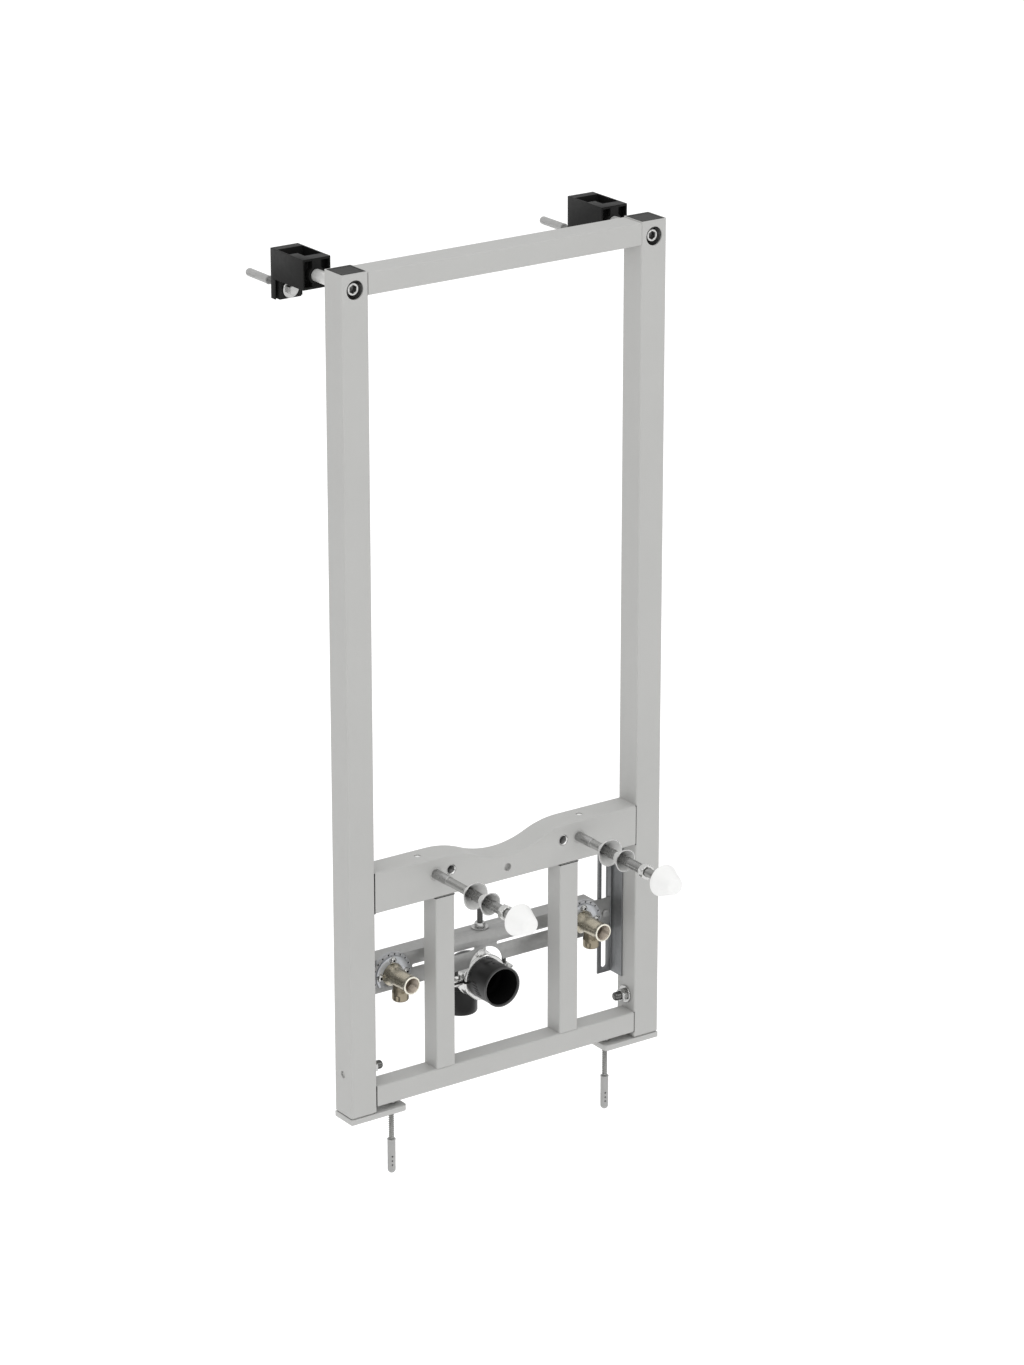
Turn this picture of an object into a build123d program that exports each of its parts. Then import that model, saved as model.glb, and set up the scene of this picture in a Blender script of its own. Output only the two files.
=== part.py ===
from build123d import *
import math
import os

# Bidet installation frame, all lengths in millimetres.
# The pieces are set out with X from the middle of the frame, positive to the right,
# Y from the front face of the posts, positive towards the wall, and Z from the finished floor.
# Every piece is then moved so that the wall face of the left wall bracket is the origin.

# Posts and the height of the frame
WIDTH = 500.0
POST_SIZE = 40.0
POST_WALL = 2.0
CORNER_RADIUS = 2.5
POST_TOP = 1153.0
CAP_PLUG_DEPTH = 12.0
CAP_CLEARANCE = 0.3
CAP_PROUD = 0.4
CAP_WALL = 2.5

# Feet
PLATE_THICKNESS = 7.5
PLATE_LENGTH = 88.0
PLATE_CORNER_RADIUS = 6.0
FOOT_GAP = 2.5
LEG_CLEARANCE = 0.4
LEG_WALL = 2.0
LEG_LENGTH = 270.0
FLOOR_SCREW_FROM_SIDE = 75.0
FLOOR_SCREW_DIAMETER = 7.5
FLOOR_SCREW_BELOW = 52.0
FLOOR_SCREW_HEAD_ACROSS = 13.0
FLOOR_SCREW_HEAD_HEIGHT = 4.0
PLUG_DIAMETER = 10.8
PLUG_COLLAR_DIAMETER = 11.4
PLUG_COLLAR_LENGTH = 2.0
FLOOR_PLUG_LENGTH = 49.6
PLUG_ENGAGEMENT = 6.0

# Clamp bolts that hold the legs
CLAMP_BOLT_HEIGHT = 67.0
CLAMP_BOLT_DIAMETER = 12.0
CLAMP_BOLT_PROUD = 20.5
CLAMP_NUT_ACROSS = 16.0
CLAMP_NUT_HEIGHT = 8.0
CLAMP_FLANGE_DIAMETER = 25.0
CLAMP_FLANGE_HEIGHT = 2.5
ACCESS_HOLE_DIAMETER = 10.0
CLAMP_TIP_CLEARANCE = 0.4

# Rails and inner posts
TOP_RAIL_BELOW_POST_TOP = 1.0
RAIL_HEIGHT = 30.0
RAIL_WALL = 2.0
BOTTOM_RAIL_DEPTH = 30.0
BOTTOM_RAIL_UNDERSIDE = 16.5
INNER_POST_SIZE = 30.0
INNER_POST_SPACING = 200.0
INNER_POST_WALL = 2.0

# Low cross beam with the dipped top edge
BEAM_HEIGHT = 57.0
BEAM_WALL = 2.5
BEAM_DIP = 22.0
BEAM_DIP_HALF_WIDTH = 106.0
BEAM_CORNER_RADIUS = 3.0
BEAM_TOP_HOLE_DIAMETER = 9.0
BEAM_TOP_HOLE_SPACING = 260.0
MID_BUSH_BORE = 11.0
MID_BUSH_OUTSIDE = 15.0
MID_BUSH_LENGTH = 12.0
MID_BUSH_BORE_DEPTH = 5.0
MID_BUSH_ABOVE_UNDERSIDE = 17.2

# Fixing pattern for the bowl
FIXING_HEIGHT = 326.5
FIXING_ABOVE_UNDERSIDE = 34.7
INSERT_SPACING = 180.0
INSERT_BORE = 12.4
INSERT_OUTSIDE = 18.0
STUD_SPACING = 230.0
STUD_DIAMETER = 12.0
STUD_ROOT_DEPTH = 34.0
STUD_BOSS_DIAMETER = 18.0
SLEEVE_DIAMETER = 13.4
ROOT_SLEEVE_LENGTH = 32.0
SLEEVE_BEHIND_RIM = 6.0
LEFT_WASHER_ONE_OUT = 92.5
RIGHT_WASHER_ONE_OUT = 72.0
WASHER_ONE_DIAMETER = 38.0
LEFT_WASHER_TWO_OUT = 126.0
RIGHT_WASHER_TWO_OUT = 106.0
WASHER_TWO_DIAMETER = 31.0
WASHER_HUB_DIAMETER = 15.0
WASHER_DEPTH = 18.0
WASHER_WALL = 1.3
LEFT_NUT_OUT = 155.0
RIGHT_NUT_OUT = 145.5
NUT_ACROSS = 19.0
NUT_HEIGHT = 10.0
CAP_START = 188.0
CAP_LENGTH = 29.5
CAP_DIAMETER = 44.0
CAP_TIP_DIAMETER = 21.6
CAP_TIP_ROUNDING = 7.0
CAP_ENGAGEMENT = 15.0

# Wall brackets, the screwed rods that hold them and the screws into the wall
ROD_BELOW_POST_TOP = 21.0
ROD_DIAMETER = 16.0
ROD_SOCKET_ACROSS = 10.0
ROD_SOCKET_DEPTH = 8.0
ROD_FACE_BACK = 4.0
FRONT_HOLE_DIAMETER = 25.0
BRACKET_BEHIND_POST = 47.0
BRACKET_WIDTH = 41.0
BRACKET_DEPTH = 76.0
BRACKET_HEIGHT = 39.5
BRACKET_ABOVE_ROD = 22.2
BRACKET_WALL = 2.0
BRACKET_FLOOR = 3.0
COVER_DEPTH = 17.0
COVER_THICKNESS = 3.0
BACK_BLOCK_DEPTH = 14.0
CROSS_WALL_BACK = 10.0
CROSS_WALL_THICKNESS = 4.0
RIB_WIDTH = 13.0
ROD_BOSS_WALL = 3.5
ROD_BOSS_LENGTH = 34.0
LEDGE_DEPTH = 17.0
LEDGE_WIDTH = 12.0
TAB_DROP = 26.2
TAB_PAD_WIDTH = 32.4
TAB_FIN_DEPTH = 10.0
TAB_FIN_THICKNESS = 1.6
TAB_WEB_THICKNESS = 3.0
WALL_SCREW_BELOW_BLOCK = 13.9
WALL_SCREW_DIAMETER = 8.0
WALL_WASHER_DIAMETER = 23.4
WALL_WASHER_THICKNESS = 1.6
WALL_SCREW_HEAD_ACROSS = 13.0
WALL_SCREW_HEAD_HEIGHT = 5.0
WALL_SCREW_BEHIND = 42.0
WALL_PLUG_LENGTH = 52.0

# Side brackets and rear rail
SHEET = 2.0
SIDE_WEB_START = 28.0
RAIL_FRONT = 51.0
SIDE_FLANGE_WIDTH = 24.0
SIDE_BRACKET_BOTTOM = 90.0
SIDE_BRACKET_BELOW_BEAM = 4.0
SIDE_SLOT_WIDTH = 8.0
SIDE_SLOT_FROM_EDGE = 10.3
SIDE_SLOT_BOTTOM = 98.0
SIDE_SLOT_BELOW_TOP = 12.0
REAR_RAIL_TOP = 200.5
REAR_RAIL_HEIGHT = 48.0
REAR_RAIL_DEPTH = 28.0
REAR_RAIL_END_GAP = 3.0
REAR_RAIL_FLANGE_HALF = 181.0
REAR_SLOT_HEIGHT = 5.0
REAR_SLOT_INNER = 17.5
REAR_SLOT_OUTER = 119.0
REAR_SLOT_LEVEL = 178.5
RAIL_SCREW_DIAMETER = 6.0
RAIL_SCREW_HEAD_DIAMETER = 11.0
RAIL_SCREW_HEAD_HEIGHT = 3.5
RAIL_NUT_ACROSS = 10.0
RAIL_NUT_HEIGHT = 5.0
DRAIN_NOTCH_WIDTH = 55.0
DRAIN_NOTCH_HEIGHT = 24.5

# Drain
DRAIN_AXIS_HEIGHT = 131.5
DRAIN_FRONT = 12.0
DRAIN_OUTSIDE = 56.0
DRAIN_WALL = 3.0
DRAIN_SOCKET_END = 82.0
DRAIN_SOCKET_DEPTH = 38.0
DRAIN_BEND_OUTSIDE = 50.0
DRAIN_OUTLET_BACK = 112.0
DRAIN_OUTLET_OUTSIDE = 46.0
DRAIN_OUTLET_BOTTOM = 63.0
DRAIN_OUTLET_LENGTH = 38.0

# Pipe clamp under the rear rail
CLAMP_FRONT = 52.0
CLAMP_BAND_WIDTH = 27.0
CLAMP_BAND_THICKNESS = 4.5
CLAMP_LUG_REACH = 17.5
CLAMP_LUG_WIDTH = 17.0
CLAMP_LUG_THICKNESS = 2.5
CLAMP_LUG_GAP = 3.0
CLAMP_SCREW_FROM_BAND = 6.5
CLAMP_SCREW_DIAMETER = 6.0
CLAMP_SCREW_ABOVE = 17.0
CLAMP_SCREW_HEAD_HEIGHT = 4.0
CLAMP_SCREW_NUT_ACROSS = 10.0
CLAMP_SCREW_NUT_HEIGHT = 5.0
CLAMP_BOSS_ACROSS = 15.0
CLAMP_BOSS_HEIGHT = 8.0
CLAMP_ROD_DIAMETER = 8.0
CLAMP_ROD_ABOVE_RAIL = 28.0
CLAMP_ROD_NUT_ACROSS = 13.0
CLAMP_ROD_NUT_HEIGHT = 6.5
CLAMP_ROD_WASHER_DIAMETER = 24.0
CLAMP_ROD_WASHER_THICKNESS = 1.6

# Water elbows
ELBOW_SPACING = 310.0
ELBOW_HEIGHT = 178.0
ELBOW_FRONT = -3.0
ELBOW_OUTSIDE = 25.0
ELBOW_BORE = 20.0
ELBOW_BORE_DEPTH = 16.0
ELBOW_OUTLET_BACK = 25.5
ELBOW_OUTLET_OUTSIDE = 22.5
ELBOW_OUTLET_BORE = 17.0
ELBOW_OUTLET_BORE_DEPTH = 13.0
ELBOW_WATERWAY = 15.0
ELBOW_OUTLET_DROP = 30.0
ELBOW_PLATE_DIAMETER = 61.0
ELBOW_PLATE_THICKNESS = 7.5
ELBOW_PLATE_BELOW_AXIS = 14.5
ELBOW_FLANGE_DIAMETER = 51.0
ELBOW_FLANGE_THICKNESS = 2.0
ELBOW_SCREW_RADIUS = 20.5
ELBOW_SCREW_DIAMETER = 9.0
ELBOW_SCREW_HEAD_HEIGHT = 4.0

# How far a cut runs past the face that it opens
OVERRUN = 1.0

SIDES = (("left", -1), ("right", 1))
WASHER_ONE_OUT = {-1: LEFT_WASHER_ONE_OUT, 1: RIGHT_WASHER_ONE_OUT}
WASHER_TWO_OUT = {-1: LEFT_WASHER_TWO_OUT, 1: RIGHT_WASHER_TWO_OUT}
NUT_OUT = {-1: LEFT_NUT_OUT, 1: RIGHT_NUT_OUT}
POST_BOTTOM = PLATE_THICKNESS + FOOT_GAP
POST_X = WIDTH / 2 - POST_SIZE / 2
POST_INNER_X = WIDTH / 2 - POST_SIZE
POST_MID_Y = POST_SIZE / 2
CLEAR_SPAN = WIDTH - 2 * POST_SIZE
BEAM_UNDERSIDE = FIXING_HEIGHT - FIXING_ABOVE_UNDERSIDE
STUD_LENGTH_OUT = CAP_START + CAP_ENGAGEMENT
ROD_HEIGHT = POST_TOP - ROD_BELOW_POST_TOP
BRACKET_TOP = ROD_HEIGHT + BRACKET_ABOVE_ROD
BRACKET_BOTTOM = BRACKET_TOP - BRACKET_HEIGHT
BRACKET_FRONT = POST_SIZE + BRACKET_BEHIND_POST
BRACKET_BACK = BRACKET_FRONT + BRACKET_DEPTH
TAB_FRONT = BRACKET_BACK - BACK_BLOCK_DEPTH
TAB_BOTTOM = BRACKET_BOTTOM - TAB_DROP
WALL_SCREW_HEIGHT = BRACKET_BOTTOM - WALL_SCREW_BELOW_BLOCK
RAIL_SCREW_X = POST_INNER_X - SIDE_FLANGE_WIDTH + SIDE_SLOT_FROM_EDGE
ELBOW_PLATE_FRONT = RAIL_FRONT - ELBOW_PLATE_THICKNESS
CLAMP_MID_Y = CLAMP_FRONT + CLAMP_BAND_WIDTH / 2
ORIGIN = (-POST_X, BRACKET_BACK, (BRACKET_TOP + TAB_BOTTOM) / 2)


def save(node, shape):
    """Moves a piece from the setting-out frame to the mount frame and writes it."""
    placed = Pos(-ORIGIN[0], -ORIGIN[1], -ORIGIN[2]) * shape
    export_step(placed, f"parts/{node}.step")


def block(x, y, z):
    """Box between two corners, each axis given as a (low, high) pair."""
    size = (x[1] - x[0], y[1] - y[0], z[1] - z[0])
    return Pos(x[0], y[0], z[0]) * Box(*size, align=(Align.MIN, Align.MIN, Align.MIN))


def along_y(diameter, start, end, x, z):
    """Round bar along Y."""
    bar = Rot(-90, 0, 0) * Cylinder(diameter / 2, end - start, align=(Align.CENTER, Align.CENTER, Align.MIN))
    return Pos(x, start, z) * bar


def along_x(diameter, start, end, y, z):
    """Round bar along X."""
    bar = Rot(0, 90, 0) * Cylinder(diameter / 2, end - start, align=(Align.CENTER, Align.CENTER, Align.MIN))
    return Pos(start, y, z) * bar


def along_z(diameter, start, end, x, y):
    """Round bar along Z."""
    bar = Cylinder(diameter / 2, end - start, align=(Align.CENTER, Align.CENTER, Align.MIN))
    return Pos(x, y, start) * bar


def hexagon(across, height):
    """Hexagonal prism on its base, given the size across its flats."""
    return extrude(RegularPolygon(across / 2, 6, major_radius=False), height)


def hex_along_y(across, start, end, x, z):
    """Hexagonal bar along Y."""
    return Pos(x, start, z) * Rot(-90, 0, 0) * hexagon(across, end - start)


def hex_along_x(across, start, end, y, z):
    """Hexagonal bar along X."""
    return Pos(start, y, z) * Rot(0, 90, 0) * hexagon(across, end - start)


def hex_along_z(across, start, end, x, y):
    """Hexagonal bar along Z."""
    return Pos(x, y, start) * hexagon(across, end - start)


def tube_section(width, depth, wall, radius):
    """Rounded rectangular tube section, centred."""
    outer = RectangleRounded(width, depth, radius)
    inner = Rectangle(width - 2 * wall, depth - 2 * wall)
    return outer - inner


def upright_tube(width, depth, wall, radius, bottom, top, x, y):
    """Vertical tube between two levels."""
    return Pos(x, y, bottom) * extrude(tube_section(width, depth, wall, radius), top - bottom)


def level_tube(height, depth, wall, radius, length, bottom, y):
    """Tube along X, centred on the frame."""
    section = Plane.YZ * tube_section(depth, height, wall, radius)
    return Pos(-length / 2, y, bottom + height / 2) * extrude(section, length)


def post(side):
    """Square post with the round access hole near its top and the clamp bolt hole at its foot."""
    x = side * POST_X
    body = upright_tube(POST_SIZE, POST_SIZE, POST_WALL, CORNER_RADIUS, POST_BOTTOM, POST_TOP, x, POST_MID_Y)
    body -= along_y(FRONT_HOLE_DIAMETER, -OVERRUN, POST_WALL + OVERRUN, x, ROD_HEIGHT)
    body -= along_y(ROD_DIAMETER, POST_SIZE - POST_WALL - OVERRUN, POST_SIZE + OVERRUN, x, ROD_HEIGHT)
    low, high = sorted((side * (POST_INNER_X - OVERRUN), side * (POST_INNER_X + POST_WALL + OVERRUN)))
    body -= along_x(CLAMP_BOLT_DIAMETER, low, high, POST_MID_Y, CLAMP_BOLT_HEIGHT)
    outer_wall = WIDTH / 2
    low, high = sorted((side * (outer_wall + OVERRUN), side * (outer_wall - POST_WALL - OVERRUN)))
    return body - along_x(ACCESS_HOLE_DIAMETER, low, high, POST_MID_Y, CLAMP_BOLT_HEIGHT)


def post_cap(side):
    """Plastic cap pressed into the top of a post."""
    inner = POST_SIZE - 2 * POST_WALL
    plug = inner - 2 * CAP_CLEARANCE
    lid = extrude(Rectangle(inner, inner), CAP_WALL + CAP_PROUD)
    top = Pos(side * POST_X, POST_MID_Y, POST_TOP - CAP_WALL) * lid
    skirt = Rectangle(plug, plug) - Rectangle(plug - 2 * CAP_WALL, plug - 2 * CAP_WALL)
    skirt = extrude(skirt, CAP_PLUG_DEPTH - CAP_WALL)
    return top + Pos(side * POST_X, POST_MID_Y, POST_TOP - CAP_PLUG_DEPTH) * skirt


def foot_leg(side):
    """Square leg that slides in the post, welded on its foot plate."""
    leg_size = POST_SIZE - 2 * POST_WALL - 2 * LEG_CLEARANCE
    x = side * POST_X
    leg_top = PLATE_THICKNESS + LEG_LENGTH
    leg = upright_tube(leg_size, leg_size, LEG_WALL, LEG_WALL, PLATE_THICKNESS, leg_top, x, POST_MID_Y)
    outer = side * WIDTH / 2
    inner = side * (WIDTH / 2 - PLATE_LENGTH)
    plate = Pos((outer + inner) / 2, POST_MID_Y, 0) * Box(
        PLATE_LENGTH, POST_SIZE, PLATE_THICKNESS, align=(Align.CENTER, Align.CENTER, Align.MIN)
    )
    inner_edges = [e for e in plate.edges().filter_by(Axis.Z) if abs(e.center().X) < abs((outer + inner) / 2)]
    plate = fillet(inner_edges, PLATE_CORNER_RADIUS)
    screw_x = side * (WIDTH / 2 - FLOOR_SCREW_FROM_SIDE)
    plate -= along_z(FLOOR_SCREW_DIAMETER, -OVERRUN, PLATE_THICKNESS + OVERRUN, screw_x, POST_MID_Y)
    return plate + leg


def floor_screw(side):
    """Hexagon screw through the foot plate into its plug."""
    x = side * (WIDTH / 2 - FLOOR_SCREW_FROM_SIDE)
    shank = along_z(FLOOR_SCREW_DIAMETER, -FLOOR_SCREW_BELOW, PLATE_THICKNESS, x, POST_MID_Y)
    head_top = PLATE_THICKNESS + FLOOR_SCREW_HEAD_HEIGHT
    head = hex_along_z(FLOOR_SCREW_HEAD_ACROSS, PLATE_THICKNESS, head_top, x, POST_MID_Y)
    return shank + head


def floor_plug(side):
    """Wall plug that stands under the foot plate on its screw."""
    x = side * (WIDTH / 2 - FLOOR_SCREW_FROM_SIDE)
    top = -FLOOR_SCREW_BELOW + PLUG_ENGAGEMENT
    plug = along_z(PLUG_DIAMETER, top - FLOOR_PLUG_LENGTH, top, x, POST_MID_Y)
    plug += along_z(PLUG_COLLAR_DIAMETER, top - PLUG_COLLAR_LENGTH, top, x, POST_MID_Y)
    return plug - along_z(FLOOR_SCREW_DIAMETER, -FLOOR_SCREW_BELOW, top + OVERRUN, x, POST_MID_Y)


def clamp_bolt(side):
    """Bolt and flanged nut on the inner face of a post, which press on the leg."""
    wall = POST_INNER_X
    leg_face = wall + POST_WALL + LEG_CLEARANCE
    tip = leg_face - CLAMP_TIP_CLEARANCE
    bolt = along_x(CLAMP_BOLT_DIAMETER, wall - CLAMP_BOLT_PROUD, tip, POST_MID_Y, CLAMP_BOLT_HEIGHT)
    flange = along_x(CLAMP_FLANGE_DIAMETER, wall - CLAMP_FLANGE_HEIGHT, wall, POST_MID_Y, CLAMP_BOLT_HEIGHT)
    nut_end = wall - CLAMP_FLANGE_HEIGHT
    nut = hex_along_x(CLAMP_NUT_ACROSS, nut_end - CLAMP_NUT_HEIGHT, nut_end, POST_MID_Y, CLAMP_BOLT_HEIGHT)
    solid = bolt + flange + nut
    return solid if side > 0 else mirror(solid, Plane.YZ)


def top_rail():
    """Rail between the posts at their tops."""
    bottom = POST_TOP - TOP_RAIL_BELOW_POST_TOP - RAIL_HEIGHT
    return level_tube(RAIL_HEIGHT, POST_SIZE, RAIL_WALL, CORNER_RADIUS, CLEAR_SPAN, bottom, POST_MID_Y)


def bottom_rail():
    """Shallower rail between the feet of the posts, flush with their front."""
    depth = BOTTOM_RAIL_DEPTH
    bottom = BOTTOM_RAIL_UNDERSIDE
    return level_tube(RAIL_HEIGHT, depth, RAIL_WALL, CORNER_RADIUS, CLEAR_SPAN, bottom, depth / 2)


def inner_post(side):
    """Short post from the bottom rail up to the cross beam."""
    bottom = BOTTOM_RAIL_UNDERSIDE + RAIL_HEIGHT
    size = INNER_POST_SIZE
    x = side * INNER_POST_SPACING / 2
    return upright_tube(size, size, INNER_POST_WALL, CORNER_RADIUS, bottom, BEAM_UNDERSIDE, x, size / 2)


def beam_outline(inset, length):
    """Front outline of the beam: straight underside, top edge dipped in the middle by three arcs."""
    low = BEAM_UNDERSIDE + inset
    high = BEAM_UNDERSIDE + BEAM_HEIGHT - inset
    half = length / 2
    dip_low = high - BEAM_DIP
    quarter = BEAM_DIP_HALF_WIDTH / 2
    rise = BEAM_DIP / 2
    radius = (quarter**2 + rise**2) / (2 * rise)
    drop = radius - math.sqrt(radius**2 - (quarter / 2) ** 2)
    points = [
        (-BEAM_DIP_HALF_WIDTH, high),
        (-quarter - quarter / 2, high - drop),
        (-quarter, high - rise),
        (0, dip_low),
        (quarter, high - rise),
        (quarter + quarter / 2, high - drop),
        (BEAM_DIP_HALF_WIDTH, high),
    ]
    edges = [
        Line((-half, low), (half, low)),
        Line((half, low), (half, high)),
        Line((half, high), points[6]),
        ThreePointArc(points[6], points[5], points[4]),
        ThreePointArc(points[4], points[3], points[2]),
        ThreePointArc(points[2], points[1], points[0]),
        Line(points[0], (-half, high)),
        Line((-half, high), (-half, low)),
    ]
    return make_face(edges)


def cross_beam():
    """Hollow beam that carries the bowl fixings, with a blind bush in the middle of its front."""
    outer = Pos(0, POST_SIZE, 0) * extrude(Plane.XZ * beam_outline(0, CLEAR_SPAN), POST_SIZE)
    spans = [(edge, edge.bounding_box().size) for edge in outer.edges()]
    outer = fillet([edge for edge, span in spans if span.Y < 0.01 and span.X > 1], BEAM_CORNER_RADIUS)
    hollow = Plane.XZ * beam_outline(BEAM_WALL, CLEAR_SPAN + 2 * OVERRUN)
    body = outer - Pos(0, POST_SIZE - BEAM_WALL, 0) * extrude(hollow, POST_SIZE - 2 * BEAM_WALL)
    top = BEAM_UNDERSIDE + BEAM_HEIGHT
    for side in (-1, 1):
        insert_x = side * INSERT_SPACING / 2
        stud_x = side * STUD_SPACING / 2
        body -= along_y(INSERT_OUTSIDE, -OVERRUN, POST_SIZE + OVERRUN, insert_x, FIXING_HEIGHT)
        body -= along_y(STUD_BOSS_DIAMETER, -OVERRUN, BEAM_WALL + OVERRUN, stud_x, FIXING_HEIGHT)
        hole_x = side * BEAM_TOP_HOLE_SPACING / 2
        body -= along_z(BEAM_TOP_HOLE_DIAMETER, top - BEAM_WALL - OVERRUN, top + OVERRUN, hole_x, POST_MID_Y)
    mid_z = BEAM_UNDERSIDE + MID_BUSH_ABOVE_UNDERSIDE
    body += along_y(MID_BUSH_OUTSIDE, 0, MID_BUSH_LENGTH, 0, mid_z)
    return body - along_y(MID_BUSH_BORE, -OVERRUN, MID_BUSH_BORE_DEPTH, 0, mid_z)


def insert(side):
    """Threaded bush right through the beam, open at the front."""
    x = side * INSERT_SPACING / 2
    bush = along_y(INSERT_OUTSIDE, 0, POST_SIZE, x, FIXING_HEIGHT)
    return bush - along_y(INSERT_BORE, -OVERRUN, POST_SIZE + OVERRUN, x, FIXING_HEIGHT)


def stud_boss(side):
    """Threaded bush in the beam that holds a stud."""
    x = side * STUD_SPACING / 2
    boss = along_y(STUD_BOSS_DIAMETER, 0, POST_SIZE - BEAM_WALL, x, FIXING_HEIGHT)
    return boss - along_y(STUD_DIAMETER, -OVERRUN, STUD_ROOT_DEPTH, x, FIXING_HEIGHT)


def stud(side):
    """Threaded stud that the bowl hangs on."""
    x = side * STUD_SPACING / 2
    return along_y(STUD_DIAMETER, -STUD_LENGTH_OUT, STUD_ROOT_DEPTH, x, FIXING_HEIGHT)


def stud_sleeves(side):
    """Sleeve on a stud at the beam, and the sleeve that starts in each cup washer."""
    x = side * STUD_SPACING / 2
    pieces = [along_y(SLEEVE_DIAMETER, -ROOT_SLEEVE_LENGTH, 0, x, FIXING_HEIGHT)]
    second_hub = WASHER_TWO_OUT[side] - WASHER_DEPTH
    for rim, end in ((WASHER_ONE_OUT[side], second_hub), (WASHER_TWO_OUT[side], NUT_OUT[side])):
        pieces.append(along_y(SLEEVE_DIAMETER, -end, SLEEVE_BEHIND_RIM - rim, x, FIXING_HEIGHT))
    bore = along_y(STUD_DIAMETER, -STUD_LENGTH_OUT, OVERRUN, x, FIXING_HEIGHT)
    return Compound([piece - bore for piece in pieces])


def cup_washer(side, rim, diameter):
    """Funnel shaped cup washer on a stud, open to the front, its hub round the stud."""
    x = side * STUD_SPACING / 2
    seat = (Align.CENTER, Align.CENTER, Align.MIN)
    hub = WASHER_HUB_DIAMETER / 2
    cup = Cone(hub, diameter / 2, WASHER_DEPTH, align=seat)
    hollow = Cone(hub - WASHER_WALL, diameter / 2 - WASHER_WALL, WASHER_DEPTH, align=seat)
    cup -= Pos(0, 0, WASHER_WALL) * hollow
    cup -= Cylinder(STUD_DIAMETER / 2, WASHER_DEPTH)
    return Pos(x, WASHER_DEPTH - rim, FIXING_HEIGHT) * Rot(90, 0, 0) * cup


def stud_nut(side):
    """Hexagon nut on a stud."""
    x = side * STUD_SPACING / 2
    back = -NUT_OUT[side]
    front = back - NUT_HEIGHT
    nut = hex_along_y(NUT_ACROSS, front, back, x, FIXING_HEIGHT)
    return nut - along_y(STUD_DIAMETER, front - OVERRUN, back + OVERRUN, x, FIXING_HEIGHT)


def stud_cap(side):
    """White cap on the end of a stud: a cone with a rounded tip, flat towards the beam."""
    x = side * STUD_SPACING / 2
    seat = (Align.CENTER, Align.CENTER, Align.MIN)
    cone = Cone(CAP_DIAMETER / 2, CAP_TIP_DIAMETER / 2, CAP_LENGTH, align=seat)
    tip_edge = cone.edges().filter_by(GeomType.CIRCLE).sort_by(Axis.Z)[-1]
    cone = fillet([tip_edge], CAP_TIP_ROUNDING)
    cap = Pos(x, -CAP_START, FIXING_HEIGHT) * Rot(90, 0, 0) * cone
    return cap - along_y(STUD_DIAMETER, -STUD_LENGTH_OUT, OVERRUN - CAP_START, x, FIXING_HEIGHT)


def wall_bracket(side):
    """Plastic bracket between the rod and the wall: ribbed box, open in front and above, over a tab."""
    x = side * POST_X
    half = BRACKET_WIDTH / 2
    inner = half - BRACKET_WALL
    box = block((x - half, x + half), (BRACKET_FRONT, BRACKET_BACK), (BRACKET_BOTTOM, BRACKET_TOP))
    floor_top = BRACKET_BOTTOM + BRACKET_FLOOR
    cover_end = BRACKET_FRONT + COVER_DEPTH
    cover_under = BRACKET_TOP - COVER_THICKNESS
    box -= block((x - inner, x + inner), (cover_end, TAB_FRONT), (floor_top, BRACKET_TOP + OVERRUN))
    box -= block((x - inner, x + inner), (BRACKET_FRONT - OVERRUN, cover_end), (floor_top, cover_under))
    ledge_x = (x - inner, x - inner + LEDGE_WIDTH)
    box += block(ledge_x, (cover_end, cover_end + LEDGE_DEPTH), (cover_under, BRACKET_TOP))
    cross_wall_front = BRACKET_FRONT + CROSS_WALL_BACK
    cross_wall_y = (cross_wall_front, cross_wall_front + CROSS_WALL_THICKNESS)
    box += block((x - inner, x + inner), cross_wall_y, (floor_top, cover_under))
    rib = RIB_WIDTH / 2
    box += block((x - rib, x + rib), (BRACKET_FRONT, cross_wall_front), (floor_top, cover_under))
    boss_end = BRACKET_FRONT + ROD_BOSS_LENGTH
    box += along_y(ROD_DIAMETER + 2 * ROD_BOSS_WALL, BRACKET_FRONT, boss_end, x, ROD_HEIGHT)
    box -= along_y(ROD_DIAMETER, BRACKET_FRONT - OVERRUN, boss_end + OVERRUN, x, ROD_HEIGHT)
    return box + wall_tab(x) - along_y(
        WALL_SCREW_DIAMETER, TAB_FRONT - OVERRUN, BRACKET_BACK + OVERRUN, x, WALL_SCREW_HEIGHT
    )


def wall_tab(x):
    """Tab under a wall bracket: a thin web on the wall, a fin at each side and a thick pad between them."""
    half = BRACKET_WIDTH / 2
    z = (TAB_BOTTOM, BRACKET_BOTTOM)
    tab = block((x - half, x + half), (BRACKET_BACK - TAB_WEB_THICKNESS, BRACKET_BACK), z)
    pad = TAB_PAD_WIDTH / 2
    tab += block((x - pad, x + pad), (TAB_FRONT, BRACKET_BACK), z)
    fin_y = (BRACKET_BACK - TAB_FIN_DEPTH, BRACKET_BACK)
    tab += block((x - half, x - half + TAB_FIN_THICKNESS), fin_y, z)
    return tab + block((x + half - TAB_FIN_THICKNESS, x + half), fin_y, z)


def wall_rod(side):
    """Screwed rod with a hexagon socket in its end, turned through the post to set the wall distance."""
    x = side * POST_X
    rod = along_y(ROD_DIAMETER, ROD_FACE_BACK, BRACKET_FRONT + ROD_BOSS_LENGTH, x, ROD_HEIGHT)
    socket_end = ROD_FACE_BACK + ROD_SOCKET_DEPTH
    return rod - hex_along_y(ROD_SOCKET_ACROSS, ROD_FACE_BACK - OVERRUN, socket_end, x, ROD_HEIGHT)


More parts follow.
